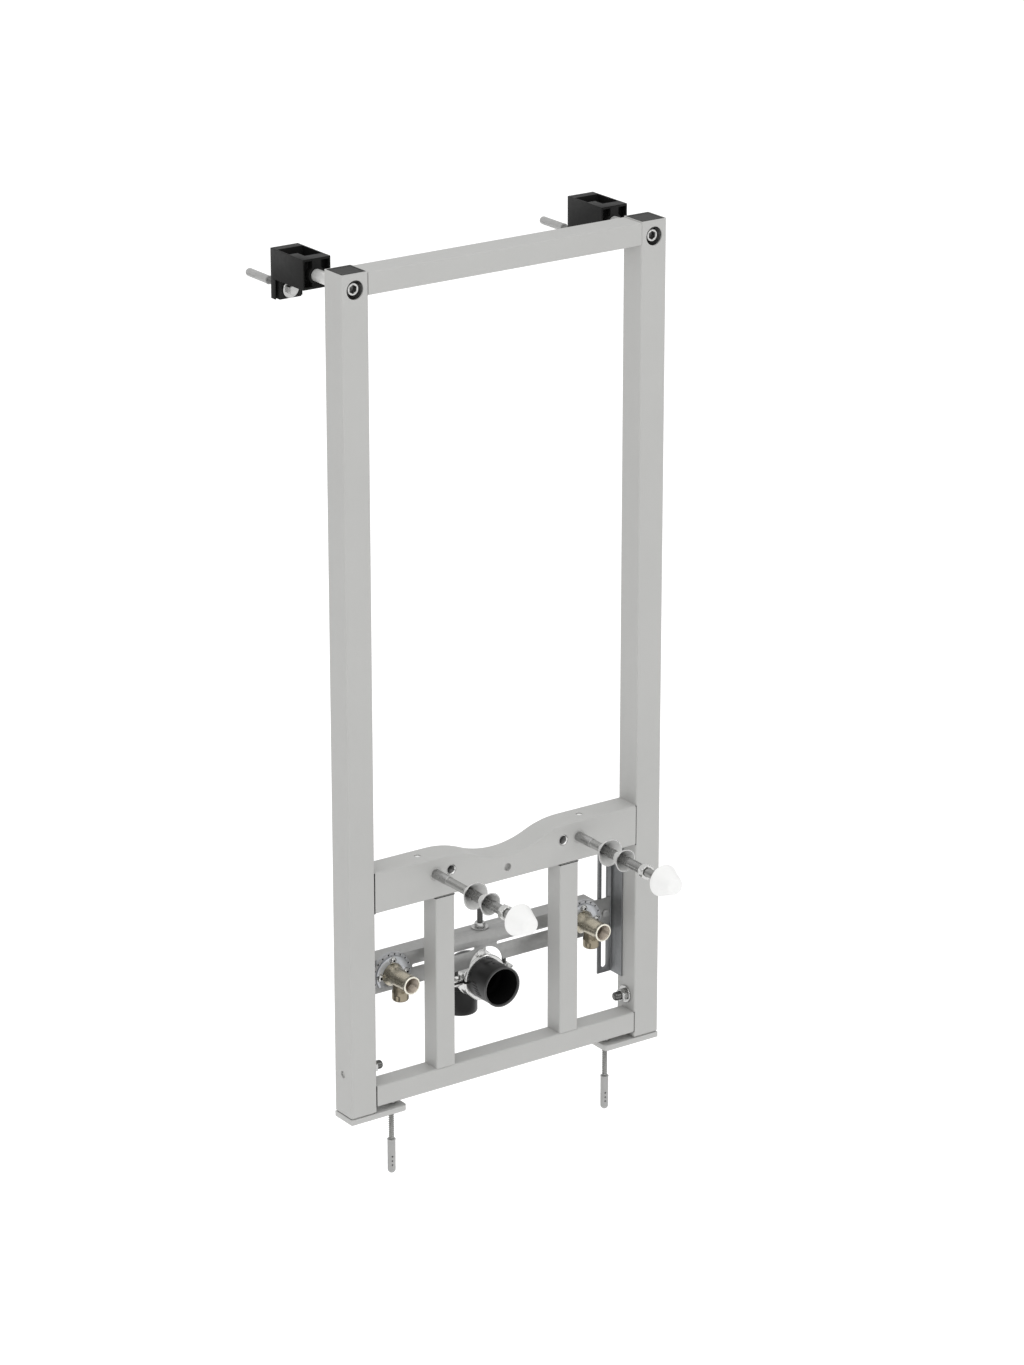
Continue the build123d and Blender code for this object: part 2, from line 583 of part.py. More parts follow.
def wall_screw(side):
    """Hexagon screw with its washer, through the bracket's tab into the wall."""
    x = side * POST_X
    washer_front = TAB_FRONT - WALL_WASHER_THICKNESS
    screw = along_y(WALL_SCREW_DIAMETER, washer_front, BRACKET_BACK + WALL_SCREW_BEHIND, x, WALL_SCREW_HEIGHT)
    screw += along_y(WALL_WASHER_DIAMETER, washer_front, TAB_FRONT, x, WALL_SCREW_HEIGHT)
    head_front = washer_front - WALL_SCREW_HEAD_HEIGHT
    return screw + hex_along_y(WALL_SCREW_HEAD_ACROSS, head_front, washer_front, x, WALL_SCREW_HEIGHT)


def wall_plug(side):
    """Plug on the end of a wall screw."""
    x = side * POST_X
    start = BRACKET_BACK + WALL_SCREW_BEHIND - PLUG_ENGAGEMENT
    plug = along_y(PLUG_DIAMETER, start, start + WALL_PLUG_LENGTH, x, WALL_SCREW_HEIGHT)
    plug += along_y(PLUG_COLLAR_DIAMETER, start, start + PLUG_COLLAR_LENGTH, x, WALL_SCREW_HEIGHT)
    return plug - along_y(WALL_SCREW_DIAMETER, start - OVERRUN, start + PLUG_ENGAGEMENT, x, WALL_SCREW_HEIGHT)


def side_bracket(side):
    """Slotted angle bracket: web against the post's inner face, flange turned towards the middle."""
    flange_front = RAIL_FRONT + SHEET
    flange_back = flange_front + SHEET
    top = BEAM_UNDERSIDE - SIDE_BRACKET_BELOW_BEAM
    z = (SIDE_BRACKET_BOTTOM, top)
    web_x = sorted((side * POST_INNER_X, side * (POST_INNER_X - SHEET)))
    flange_x = sorted((side * POST_INNER_X, side * (POST_INNER_X - SIDE_FLANGE_WIDTH)))
    body = block(web_x, (SIDE_WEB_START, flange_back), z)
    body += block(flange_x, (flange_front, flange_back), z)
    slot_x = side * RAIL_SCREW_X
    radius = SIDE_SLOT_WIDTH / 2
    slot_low = SIDE_SLOT_BOTTOM + radius
    slot_high = top - SIDE_SLOT_BELOW_TOP - radius
    y = (flange_front - OVERRUN, flange_back + OVERRUN)
    slot = block((slot_x - radius, slot_x + radius), y, (slot_low, slot_high))
    slot += along_y(SIDE_SLOT_WIDTH, *y, slot_x, slot_low)
    return body - slot - along_y(SIDE_SLOT_WIDTH, *y, slot_x, slot_high)


def rear_rail():
    """Slotted angle rail with the fittings on it, arched over the drain and screwed to the side brackets."""
    half = POST_INNER_X - SHEET - REAR_RAIL_END_GAP
    bottom = REAR_RAIL_TOP - REAR_RAIL_HEIGHT
    body = block((-half, half), (RAIL_FRONT, RAIL_FRONT + SHEET), (bottom, REAR_RAIL_TOP))
    flange_x = (-REAR_RAIL_FLANGE_HALF, REAR_RAIL_FLANGE_HALF)
    flange_y = (RAIL_FRONT, RAIL_FRONT + REAR_RAIL_DEPTH)
    body += block(flange_x, flange_y, (REAR_RAIL_TOP - SHEET, REAR_RAIL_TOP))
    radius = REAR_SLOT_HEIGHT / 2
    slot_z = (REAR_SLOT_LEVEL - radius, REAR_SLOT_LEVEL + radius)
    y = (RAIL_FRONT - OVERRUN, RAIL_FRONT + SHEET + OVERRUN)
    for side in (-1, 1):
        ends = sorted((side * (REAR_SLOT_INNER + radius), side * (REAR_SLOT_OUTER - radius)))
        body -= block(ends, y, slot_z)
        body -= along_y(REAR_SLOT_HEIGHT, *y, ends[0], REAR_SLOT_LEVEL)
        body -= along_y(REAR_SLOT_HEIGHT, *y, ends[1], REAR_SLOT_LEVEL)
        body += rail_screw(side * RAIL_SCREW_X)
    arch = DRAIN_NOTCH_WIDTH / 2
    arch_z = bottom + DRAIN_NOTCH_HEIGHT - arch
    body -= along_y(DRAIN_NOTCH_WIDTH, *y, 0, arch_z)
    if arch_z > bottom:
        body -= block((-arch, arch), y, (bottom - OVERRUN, arch_z))
    rod_hole_z = (REAR_RAIL_TOP - SHEET - OVERRUN, REAR_RAIL_TOP + OVERRUN)
    return body - along_z(CLAMP_ROD_DIAMETER, *rod_hole_z, 0, CLAMP_MID_Y)


def rail_screw(x):
    """Round head screw through the rail and the side bracket's slot, with its nut behind."""
    slotted_back = RAIL_FRONT + 2 * SHEET
    head_front = RAIL_FRONT - RAIL_SCREW_HEAD_HEIGHT
    head = along_y(RAIL_SCREW_HEAD_DIAMETER, head_front, RAIL_FRONT, x, REAR_SLOT_LEVEL)
    shank = along_y(RAIL_SCREW_DIAMETER, RAIL_FRONT, slotted_back + RAIL_NUT_HEIGHT, x, REAR_SLOT_LEVEL)
    nut = hex_along_y(RAIL_NUT_ACROSS, slotted_back, slotted_back + RAIL_NUT_HEIGHT, x, REAR_SLOT_LEVEL)
    return head + shank + nut


def drain_elbow():
    """Black drain elbow: wide socket open at the front, bend, and a spigot pointing down behind the frame."""
    axis_z = DRAIN_AXIS_HEIGHT
    outside = along_y(DRAIN_OUTSIDE, DRAIN_FRONT, DRAIN_SOCKET_END, 0, axis_z)
    outside += along_y(DRAIN_BEND_OUTSIDE, DRAIN_FRONT, DRAIN_OUTLET_BACK, 0, axis_z)
    outside += Pos(0, DRAIN_OUTLET_BACK, axis_z) * Sphere(DRAIN_BEND_OUTSIDE / 2)
    spigot_top = DRAIN_OUTLET_BOTTOM + DRAIN_OUTLET_LENGTH
    outside += along_z(DRAIN_BEND_OUTSIDE, spigot_top, axis_z, 0, DRAIN_OUTLET_BACK)
    outside += along_z(DRAIN_OUTLET_OUTSIDE, DRAIN_OUTLET_BOTTOM, axis_z, 0, DRAIN_OUTLET_BACK)
    bore = DRAIN_OUTLET_OUTSIDE - 2 * DRAIN_WALL
    socket_end = DRAIN_FRONT + DRAIN_SOCKET_DEPTH
    inside = along_y(DRAIN_OUTSIDE - 2 * DRAIN_WALL, DRAIN_FRONT - OVERRUN, socket_end, 0, axis_z)
    inside += along_y(bore, DRAIN_FRONT, DRAIN_OUTLET_BACK, 0, axis_z)
    inside += Pos(0, DRAIN_OUTLET_BACK, axis_z) * Sphere(bore / 2)
    return outside - inside - along_z(bore, DRAIN_OUTLET_BOTTOM - OVERRUN, axis_z, 0, DRAIN_OUTLET_BACK)


def pipe_clamp():
    """Two-part band round the drain, with a screwed lug each side and a nut on top for its rod."""
    low, high = CLAMP_FRONT, CLAMP_FRONT + CLAMP_BAND_WIDTH
    outer = DRAIN_OUTSIDE + 2 * CLAMP_BAND_THICKNESS
    band = along_y(outer, low, high, 0, DRAIN_AXIS_HEIGHT)
    lug_y = (CLAMP_MID_Y - CLAMP_LUG_WIDTH / 2, CLAMP_MID_Y + CLAMP_LUG_WIDTH / 2)
    reach = outer / 2 + CLAMP_LUG_REACH
    upper = DRAIN_AXIS_HEIGHT + CLAMP_LUG_GAP / 2
    lower = DRAIN_AXIS_HEIGHT - CLAMP_LUG_GAP / 2
    lug_top = upper + CLAMP_LUG_THICKNESS
    lug_bottom = lower - CLAMP_LUG_THICKNESS
    band += block((-reach, reach), lug_y, (upper, lug_top))
    band += block((-reach, reach), lug_y, (lug_bottom, lower))
    head_bottom = lug_bottom - CLAMP_SCREW_HEAD_HEIGHT
    nut_top = lug_top + CLAMP_SCREW_NUT_HEIGHT
    for x in (-outer / 2 - CLAMP_SCREW_FROM_BAND, outer / 2 + CLAMP_SCREW_FROM_BAND):
        screw_top = DRAIN_AXIS_HEIGHT + CLAMP_SCREW_ABOVE
        band += along_z(CLAMP_SCREW_DIAMETER, head_bottom, screw_top, x, CLAMP_MID_Y)
        band += hex_along_z(CLAMP_SCREW_NUT_ACROSS, head_bottom, lug_bottom, x, CLAMP_MID_Y)
        band += hex_along_z(CLAMP_SCREW_NUT_ACROSS, lug_top, nut_top, x, CLAMP_MID_Y)
    band_top = DRAIN_AXIS_HEIGHT + outer / 2
    boss_top = band_top + CLAMP_BOSS_HEIGHT
    band += hex_along_z(CLAMP_BOSS_ACROSS, DRAIN_AXIS_HEIGHT, boss_top, 0, CLAMP_MID_Y)
    band -= along_z(CLAMP_ROD_DIAMETER, band_top, boss_top + OVERRUN, 0, CLAMP_MID_Y)
    return band - along_y(DRAIN_OUTSIDE, low - OVERRUN, high + OVERRUN, 0, DRAIN_AXIS_HEIGHT)


def clamp_rod():
    """Threaded rod from the pipe clamp up through the rear rail, with its nut and washer."""
    bottom = DRAIN_AXIS_HEIGHT + DRAIN_OUTSIDE / 2 + CLAMP_BAND_THICKNESS
    rod = along_z(CLAMP_ROD_DIAMETER, bottom, REAR_RAIL_TOP + CLAMP_ROD_ABOVE_RAIL, 0, CLAMP_MID_Y)
    washer_top = REAR_RAIL_TOP + CLAMP_ROD_WASHER_THICKNESS
    rod += along_z(CLAMP_ROD_WASHER_DIAMETER, REAR_RAIL_TOP, washer_top, 0, CLAMP_MID_Y)
    nut_top = washer_top + CLAMP_ROD_NUT_HEIGHT
    return rod + hex_along_z(CLAMP_ROD_NUT_ACROSS, washer_top, nut_top, 0, CLAMP_MID_Y)


def water_elbow(side):
    """Water elbow: open socket at the front, outlet pointing down."""
    x = side * ELBOW_SPACING / 2
    bottom = ELBOW_HEIGHT - ELBOW_OUTLET_DROP
    flange_front = ELBOW_PLATE_FRONT - ELBOW_FLANGE_THICKNESS
    body = along_y(ELBOW_OUTSIDE, ELBOW_FRONT, flange_front, x, ELBOW_HEIGHT)
    body += along_z(ELBOW_OUTLET_OUTSIDE, bottom, ELBOW_HEIGHT, x, ELBOW_OUTLET_BACK)
    body -= along_y(ELBOW_BORE, ELBOW_FRONT - OVERRUN, ELBOW_FRONT + ELBOW_BORE_DEPTH, x, ELBOW_HEIGHT)
    bore_top = bottom + ELBOW_OUTLET_BORE_DEPTH
    body -= along_z(ELBOW_OUTLET_BORE, bottom - OVERRUN, bore_top, x, ELBOW_OUTLET_BACK)
    body -= along_y(ELBOW_WATERWAY, ELBOW_FRONT, ELBOW_OUTLET_BACK, x, ELBOW_HEIGHT)
    body -= along_z(ELBOW_WATERWAY, bottom, ELBOW_HEIGHT, x, ELBOW_OUTLET_BACK)
    return body - Pos(x, ELBOW_OUTLET_BACK, ELBOW_HEIGHT) * Sphere(ELBOW_WATERWAY / 2)


def elbow_plate(side):
    """Base of a water elbow on the rear rail: round, flat below, with its front flange and three screws."""
    x = side * ELBOW_SPACING / 2
    flange_front = ELBOW_PLATE_FRONT - ELBOW_FLANGE_THICKNESS
    plate = along_y(ELBOW_PLATE_DIAMETER, ELBOW_PLATE_FRONT, RAIL_FRONT, x, ELBOW_HEIGHT)
    plate += along_y(ELBOW_FLANGE_DIAMETER, flange_front, RAIL_FRONT, x, ELBOW_HEIGHT)
    for angle in (0, 90, 180):
        screw_x = x + ELBOW_SCREW_RADIUS * math.cos(math.radians(angle))
        screw_z = ELBOW_HEIGHT + ELBOW_SCREW_RADIUS * math.sin(math.radians(angle))
        head_front = flange_front - ELBOW_SCREW_HEAD_HEIGHT
        plate += along_y(ELBOW_SCREW_DIAMETER, head_front, flange_front, screw_x, screw_z)
    below = (ELBOW_HEIGHT - ELBOW_PLATE_DIAMETER, ELBOW_HEIGHT - ELBOW_PLATE_BELOW_AXIS)
    width = (x - ELBOW_PLATE_DIAMETER, x + ELBOW_PLATE_DIAMETER)
    return plate - block(width, (flange_front - OVERRUN, RAIL_FRONT + OVERRUN), below)


def main():
    os.makedirs("parts", exist_ok=True)
    save("top_rail", top_rail())
    save("bottom_rail", bottom_rail())
    save("cross_beam", cross_beam())
    save("rear_rail", rear_rail())
    save("drain_elbow", drain_elbow())
    save("pipe_clamp", pipe_clamp())
    save("clamp_rod", clamp_rod())
    for name, side in SIDES:
        save(f"{name}_post", post(side))
        save(f"{name}_post_cap", post_cap(side))
        save(f"{name}_foot_leg", foot_leg(side))
        save(f"{name}_floor_screw", floor_screw(side))
        save(f"{name}_floor_plug", floor_plug(side))
        save(f"{name}_clamp_bolt", clamp_bolt(side))
        save(f"{name}_inner_post", inner_post(side))
        save(f"{name}_fixing_bushes", Compound([insert(side), stud_boss(side)]))
        save(f"{name}_stud", stud(side))
        save(f"{name}_stud_sleeves", stud_sleeves(side))
        near_washer = cup_washer(side, WASHER_ONE_OUT[side], WASHER_ONE_DIAMETER)
        far_washer = cup_washer(side, WASHER_TWO_OUT[side], WASHER_TWO_DIAMETER)
        save(f"{name}_stud_nut_and_washers", Compound([near_washer, far_washer, stud_nut(side)]))
        save(f"{name}_stud_cap", stud_cap(side))
        save(f"{name}_wall_bracket", wall_bracket(side))
        save(f"{name}_wall_rod", wall_rod(side))
        save(f"{name}_wall_screw", wall_screw(side))
        save(f"{name}_wall_plug", wall_plug(side))
        save(f"{name}_side_bracket", side_bracket(side))
        save(f"{name}_water_elbow", water_elbow(side))
        save(f"{name}_elbow_plate", elbow_plate(side))


main()
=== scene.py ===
"""Looks of a wall and floor fixed bidet installation frame.

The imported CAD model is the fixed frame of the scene. Lengths in this file are millimetres in the
setting-out frame: x from the middle of the frame to the right, y from the posts' front face towards
the wall, z from the underside of the foot plates.
"""

import logging
import math
from dataclasses import dataclass, field
from enum import Enum

import bmesh
import bpy
import numpy as np
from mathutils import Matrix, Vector

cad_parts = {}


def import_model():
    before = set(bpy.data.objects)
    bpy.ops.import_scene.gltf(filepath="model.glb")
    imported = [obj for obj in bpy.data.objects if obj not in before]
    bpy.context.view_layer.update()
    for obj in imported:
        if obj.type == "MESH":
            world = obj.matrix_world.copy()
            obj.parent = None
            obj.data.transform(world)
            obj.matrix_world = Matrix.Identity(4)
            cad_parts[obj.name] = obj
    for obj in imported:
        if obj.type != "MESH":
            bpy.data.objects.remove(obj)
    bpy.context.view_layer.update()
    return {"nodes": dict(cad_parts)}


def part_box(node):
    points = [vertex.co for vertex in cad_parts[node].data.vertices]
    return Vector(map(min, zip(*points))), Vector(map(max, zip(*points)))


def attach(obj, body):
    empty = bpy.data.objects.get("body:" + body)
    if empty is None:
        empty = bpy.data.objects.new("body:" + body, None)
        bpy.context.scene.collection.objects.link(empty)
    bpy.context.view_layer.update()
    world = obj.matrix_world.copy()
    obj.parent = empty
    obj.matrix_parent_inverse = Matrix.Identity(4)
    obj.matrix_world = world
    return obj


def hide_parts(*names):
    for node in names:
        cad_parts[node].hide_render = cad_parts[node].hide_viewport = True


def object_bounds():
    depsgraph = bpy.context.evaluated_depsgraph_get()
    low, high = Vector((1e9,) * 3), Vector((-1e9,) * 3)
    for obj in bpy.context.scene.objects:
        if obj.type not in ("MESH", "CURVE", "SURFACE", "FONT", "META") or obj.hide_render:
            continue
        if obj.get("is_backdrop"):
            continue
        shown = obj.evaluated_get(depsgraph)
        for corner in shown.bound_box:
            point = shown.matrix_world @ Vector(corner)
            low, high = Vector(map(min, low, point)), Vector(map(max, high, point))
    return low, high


LOG = logging.getLogger("bidet_frame")
MM = 0.001
TAU = 2 * math.pi
SIDES = (("left", -1), ("right", 1))
SOCKET_ROW = 9
CLEARANCE = 0.02
MERGE_DISTANCE = 2e-6


class Along(Enum):
    """Axis and direction that a turned shape is set out along."""

    FRONT = ((1, 0, 0), (0, 0, 1), (0, -1, 0))
    BACK = ((-1, 0, 0), (0, 0, 1), (0, 1, 0))
    UP = ((1, 0, 0), (0, 1, 0), (0, 0, 1))
    DOWN = ((-1, 0, 0), (0, 1, 0), (0, 0, -1))
    RIGHT = ((0, 1, 0), (0, 0, 1), (1, 0, 0))
    LEFT = ((0, -1, 0), (0, 0, 1), (-1, 0, 0))

    def place(self, local: np.ndarray, origin: tuple[float, float, float]) -> np.ndarray:
        """Turns points whose third coordinate runs along the axis and moves them to the origin."""
        return local @ np.array(self.value, float) + np.array(origin, float)


@dataclass(frozen=True)
class SettingOut:
    """Where the setting-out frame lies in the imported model, found from its nodes' boxes."""

    x: float
    y: float
    z: float

    @classmethod
    def from_frame(cls) -> "SettingOut":
        """Reads the frame's middle, front face and floor level from the CAD nodes."""
        left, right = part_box("left_post"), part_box("right_post")
        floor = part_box("left_foot_leg")[0].z
        return cls((left[0].x + right[1].x) / 2, left[0].y, floor)

    def metres(self, points: np.ndarray) -> np.ndarray:
        """Setting-out millimetres to model metres."""
        return points * MM + np.array((self.x, self.y, self.z))


@dataclass(frozen=True)
class Surface:
    """How a kind of surface varies: its pattern of colour, its gloss and its fine relief."""

    pattern: str
    pattern_scale: float
    vary: tuple[float, float]
    gloss_scale: float
    gloss: tuple[float, float]
    grain_scale: float
    grain_height: float


PAINT = Surface("mottle", 9.0, (0.985, 1.015), 45.0, (-0.05, 0.05), 700.0, 0.00002)
ZINC = Surface("zinc_spangle", 220.0, (0.95, 1.05), 60.0, (-0.06, 0.06), 500.0, 0.00001)
METAL = Surface("mottle", 150.0, (0.94, 1.05), 260.0, (-0.05, 0.06), 1200.0, 0.000006)
PLASTIC = Surface("mottle", 50.0, (0.95, 1.05), 180.0, (-0.04, 0.05), 1500.0, 0.00001)
EVEN_PLASTIC = Surface("mottle", 50.0, (0.998, 1.002), 180.0, (-0.04, 0.05), 1500.0, 0.00001)

# Of each finish: its kind of surface, colour, middle of the roughness, metallic and specular level.
FINISHES = {
    "painted_steel": (PAINT, (0.415, 0.415, 0.405), 0.45, 0.0, 0.35),
    "painted_foot": (PAINT, (0.43, 0.43, 0.42), 0.45, 0.0, 0.35),
    "rail_steel": (ZINC, (0.33, 0.33, 0.325), 0.40, 0.45, 0.5),
    "bracket_steel": (ZINC, (0.21, 0.215, 0.22), 0.40, 0.75, 0.5),
    "bright_steel": (METAL, (0.46, 0.46, 0.455), 0.22, 0.95, 0.5),
    "nut_steel": (METAL, (0.52, 0.52, 0.51), 0.16, 1.0, 0.5),
    "washer_steel": (METAL, (0.62, 0.62, 0.61), 0.45, 0.1, 0.5),
    "sleeve_steel": (METAL, (0.27, 0.27, 0.265), 0.26, 0.9, 0.5),
    "root_steel": (METAL, (0.36, 0.36, 0.355), 0.30, 0.85, 0.5),
    "stud_steel": (METAL, (0.27, 0.27, 0.262), 0.30, 0.85, 0.5),
    "dull_steel": (METAL, (0.15, 0.15, 0.147), 0.36, 0.8, 0.5),
    # Darker steel for the stud's thread inside the cup washers: painted shade.
    "screw_steel": (METAL, (0.10, 0.10, 0.098), 0.36, 0.8, 0.5),
    "bolt_steel": (METAL, (0.12, 0.12, 0.117), 0.22, 0.95, 0.5),
    "bush_steel": (METAL, (0.75, 0.75, 0.74), 0.28, 0.8, 0.5),
    "rod_steel": (METAL, (0.60, 0.60, 0.59), 0.34, 0.3, 0.5),
    "clamp_steel": (METAL, (0.58, 0.58, 0.57), 0.20, 0.95, 0.5),
    "plate_steel": (METAL, (0.36, 0.365, 0.375), 0.34, 0.6, 0.5),
    "flange_steel": (METAL, (0.50, 0.515, 0.54), 0.32, 0.5, 0.5),
    "plated_brass": (METAL, (0.42, 0.385, 0.305), 0.27, 0.85, 0.5),
    "outlet_brass": (METAL, (0.27, 0.235, 0.175), 0.30, 0.85, 0.5),
    "lip_brass": (METAL, (0.72, 0.69, 0.60), 0.24, 0.6, 0.5),
    "thread_brass": (METAL, (0.40, 0.35, 0.29), 0.30, 0.7, 0.5),
    # Near black that stands for shade in hollows: painted shade in the drain's bore, in the elbow plates'
    # dimples and screw sockets, and a painted shadow ring round the beam bushes.
    "dark_gap": (PLASTIC, (0.004, 0.004, 0.004), 0.85, 0.0, 0.05),
    "seam_shadow": (PLASTIC, (0.035, 0.035, 0.034), 0.8, 0.0, 0.1),
    "bracket_plastic": (PLASTIC, (0.006, 0.006, 0.0058), 0.46, 0.0, 0.16),
    "cap_plastic": (PLASTIC, (0.022, 0.022, 0.021), 0.5, 0.0, 0.22),
    "drain_plastic": (PLASTIC, (0.006, 0.006, 0.006), 0.36, 0.0, 0.34),
    # Lighter black for the drain's lip: a painted highlight.
    "lip_plastic": (PLASTIC, (0.05, 0.05, 0.05), 0.4, 0.0, 0.5),
    "plug_plastic": (PLASTIC, (0.33, 0.33, 0.325), 0.42, 0.0, 0.5),
    "white_plastic": (EVEN_PLASTIC, (0.79, 0.79, 0.782), 0.32, 0.0, 0.3),
}

# Of each finish: the CAD nodes that show it, by their names without the side.
FINISH_NODES = {
    "painted_steel": ("top_rail", "bottom_rail", "cross_beam", "post", "inner_post", "fixing_bushes"),
    "painted_foot": ("foot_leg",),
    "rail_steel": ("rear_rail",),
    "bracket_steel": ("side_bracket",),
    "bright_steel": (
        "pipe_clamp", "clamp_rod", "clamp_bolt", "wall_rod", "wall_screw", "elbow_plate",
        "stud_nut_and_washers",
    ),
    "dull_steel": ("floor_screw", "stud"),
    "sleeve_steel": ("stud_sleeves",),
    "plated_brass": ("water_elbow",),
    "bracket_plastic": ("wall_bracket",),
    "cap_plastic": ("post_cap",),
    "drain_plastic": ("drain_elbow",),
    "plug_plastic": ("floor_plug", "wall_plug"),
    "white_plastic": ("stud_cap",),
}


def set_inputs(node: bpy.types.Node, values: dict) -> None:
    """Sets the plain values of a node's inputs by their names."""
    for key, value in values.items():
        node.inputs[key].default_value = value


def link(tree: bpy.types.NodeTree, *pairs: tuple) -> None:
    """Links each pair of an output and an input."""
    for output, socket in pairs:
        tree.links.new(output, socket)


class Finishes:
    """The finishes of the frame's parts, as node materials that are built once each."""

    def __init__(self) -> None:
        """Builds the shared node groups and every finish."""
        noise, fine = "ShaderNodeTexNoise", {"Detail": 5.0, "Roughness": 0.6}
        cells = "ShaderNodeTexVoronoi"
        self.groups = {
            "fine_grain": self._grain_group(),
            "mottle": self._ranged_group("mottle", noise, "Fac", (0.3, 0.7), fine),
            "zinc_spangle": self._ranged_group("zinc_spangle", cells, "Color", (0.0, 1.0), {}),
        }
        self.materials = {name: self._material(name, *recipe) for name, recipe in FINISHES.items()}

    @staticmethod
    def _group(name: str, inputs: dict[str, float], output: str, kind: str) -> tuple:
        """Makes a node group with float inputs and one output.

        Args:
            name: name of the group.
            inputs: name and default value of each input.
            output: name of the output.
            kind: socket type of the output.

        Returns:
            The group, its input node, its output node and its Object coordinates.
        """
        group = bpy.data.node_groups.new(name, "ShaderNodeTree")
        for key, value in inputs.items():
            socket = group.interface.new_socket(key, in_out="INPUT", socket_type="NodeSocketFloat")
            socket.default_value = value
        group.interface.new_socket(output, in_out="OUTPUT", socket_type=kind)
        given, out = group.nodes.new("NodeGroupInput"), group.nodes.new("NodeGroupOutput")
        return group, given, out, group.nodes.new("ShaderNodeTexCoord").outputs["Object"]

    def _grain_group(self) -> bpy.types.NodeTree:
        """Fine moulded or sprayed grain as a normal, from noise on Object coordinates."""
        inputs = {"Scale": 900.0, "Height": 0.00004}
        group, given, out, place = self._group("fine_grain", inputs, "Normal", "NodeSocketVector")
        noise, bump = group.nodes.new("ShaderNodeTexNoise"), group.nodes.new("ShaderNodeBump")
        set_inputs(noise, {"Detail": 3.0})
        set_inputs(bump, {"Strength": 1.0})
        link(
            group,
            (place, noise.inputs["Vector"]),
            (given.outputs["Scale"], noise.inputs["Scale"]),
            (given.outputs["Height"], bump.inputs["Distance"]),
            (noise.outputs["Fac"], bump.inputs["Height"]),
            (bump.outputs["Normal"], out.inputs["Normal"]),
        )
        return group

    def _ranged_group(
        self, name: str, kind: str, output: str, span: tuple, settings: dict
    ) -> bpy.types.NodeTree:
        """A value between Low and High that varies from place to place with a texture.

        Args:
            name: name of the group.
            kind: the texture: noise for a mottle, one random colour per Voronoi cell for zinc crystals.
            output: which of the texture's outputs is used.
            span: the texture's values that become Low and High.
            settings: the texture's other inputs.

        Returns:
            The group.
        """
        inputs = {"Scale": 30.0, "Low": 0.9, "High": 1.1}
        group, given, out, place = self._group(name, inputs, "Value", "NodeSocketFloat")
        texture, remap = group.nodes.new(kind), group.nodes.new("ShaderNodeMapRange")
        set_inputs(texture, settings)
        set_inputs(remap, {"From Min": span[0], "From Max": span[1]})
        value = texture.outputs[output]
        if output == "Color":
            grey = group.nodes.new("ShaderNodeRGBToBW")
            group.links.new(value, grey.inputs["Color"])
            value = grey.outputs["Val"]
        link(
            group,
            (place, texture.inputs["Vector"]),
            (given.outputs["Scale"], texture.inputs["Scale"]),
            (value, remap.inputs["Value"]),
            (given.outputs["Low"], remap.inputs["To Min"]),
            (given.outputs["High"], remap.inputs["To Max"]),
            (remap.outputs["Result"], out.inputs["Value"]),
        )
        return group

    def _use(self, tree: bpy.types.NodeTree, group: str, values: dict[str, float], output: str = "Value"):
        """Places a shared group in a material with its own values and gives its output."""
        node = tree.nodes.new("ShaderNodeGroup")
        node.node_tree = self.groups[group]
        set_inputs(node, values)
        return node.outputs[output]

    def _material(
        self, name: str, surface: Surface, colour: tuple, roughness: float, metallic: float, specular: float
    ) -> bpy.types.Material:
        """Material whose plain colour, roughness and normal vary as its kind of surface does.

        Args:
            name: the finish's name.
            surface: its kind of surface.
            colour: its plain colour.
            roughness: middle of its roughness.
            metallic: how metallic it is.
            specular: specular level of the shader.

        Returns:
            The material.
        """
        material = bpy.data.materials.new(name)
        material.use_nodes = True
        tree = material.node_tree
        shader, tint = tree.nodes["Principled BSDF"], tree.nodes.new("ShaderNodeMix")
        set_inputs(shader, {"Metallic": metallic, "Specular IOR Level": specular})
        tint.data_type, tint.blend_type = "RGBA", "MULTIPLY"
        set_inputs(tint, {"Factor": 1.0, "A": (*colour, 1.0)})
        low, high = surface.vary
        tone = self._use(tree, surface.pattern, {"Scale": surface.pattern_scale, "Low": low, "High": high})
        low, high = (roughness + step for step in surface.gloss)
        gloss = self._use(tree, "mottle", {"Scale": surface.gloss_scale, "Low": low, "High": high})
        relief = {"Scale": surface.grain_scale, "Height": surface.grain_height}
        link(
            tree,
            (tone, tint.inputs["B"]),
            (tint.outputs["Result"], shader.inputs["Base Color"]),
            (gloss, shader.inputs["Roughness"]),
            (self._use(tree, "fine_grain", relief, "Normal"), shader.inputs["Normal"]),
        )
        return material


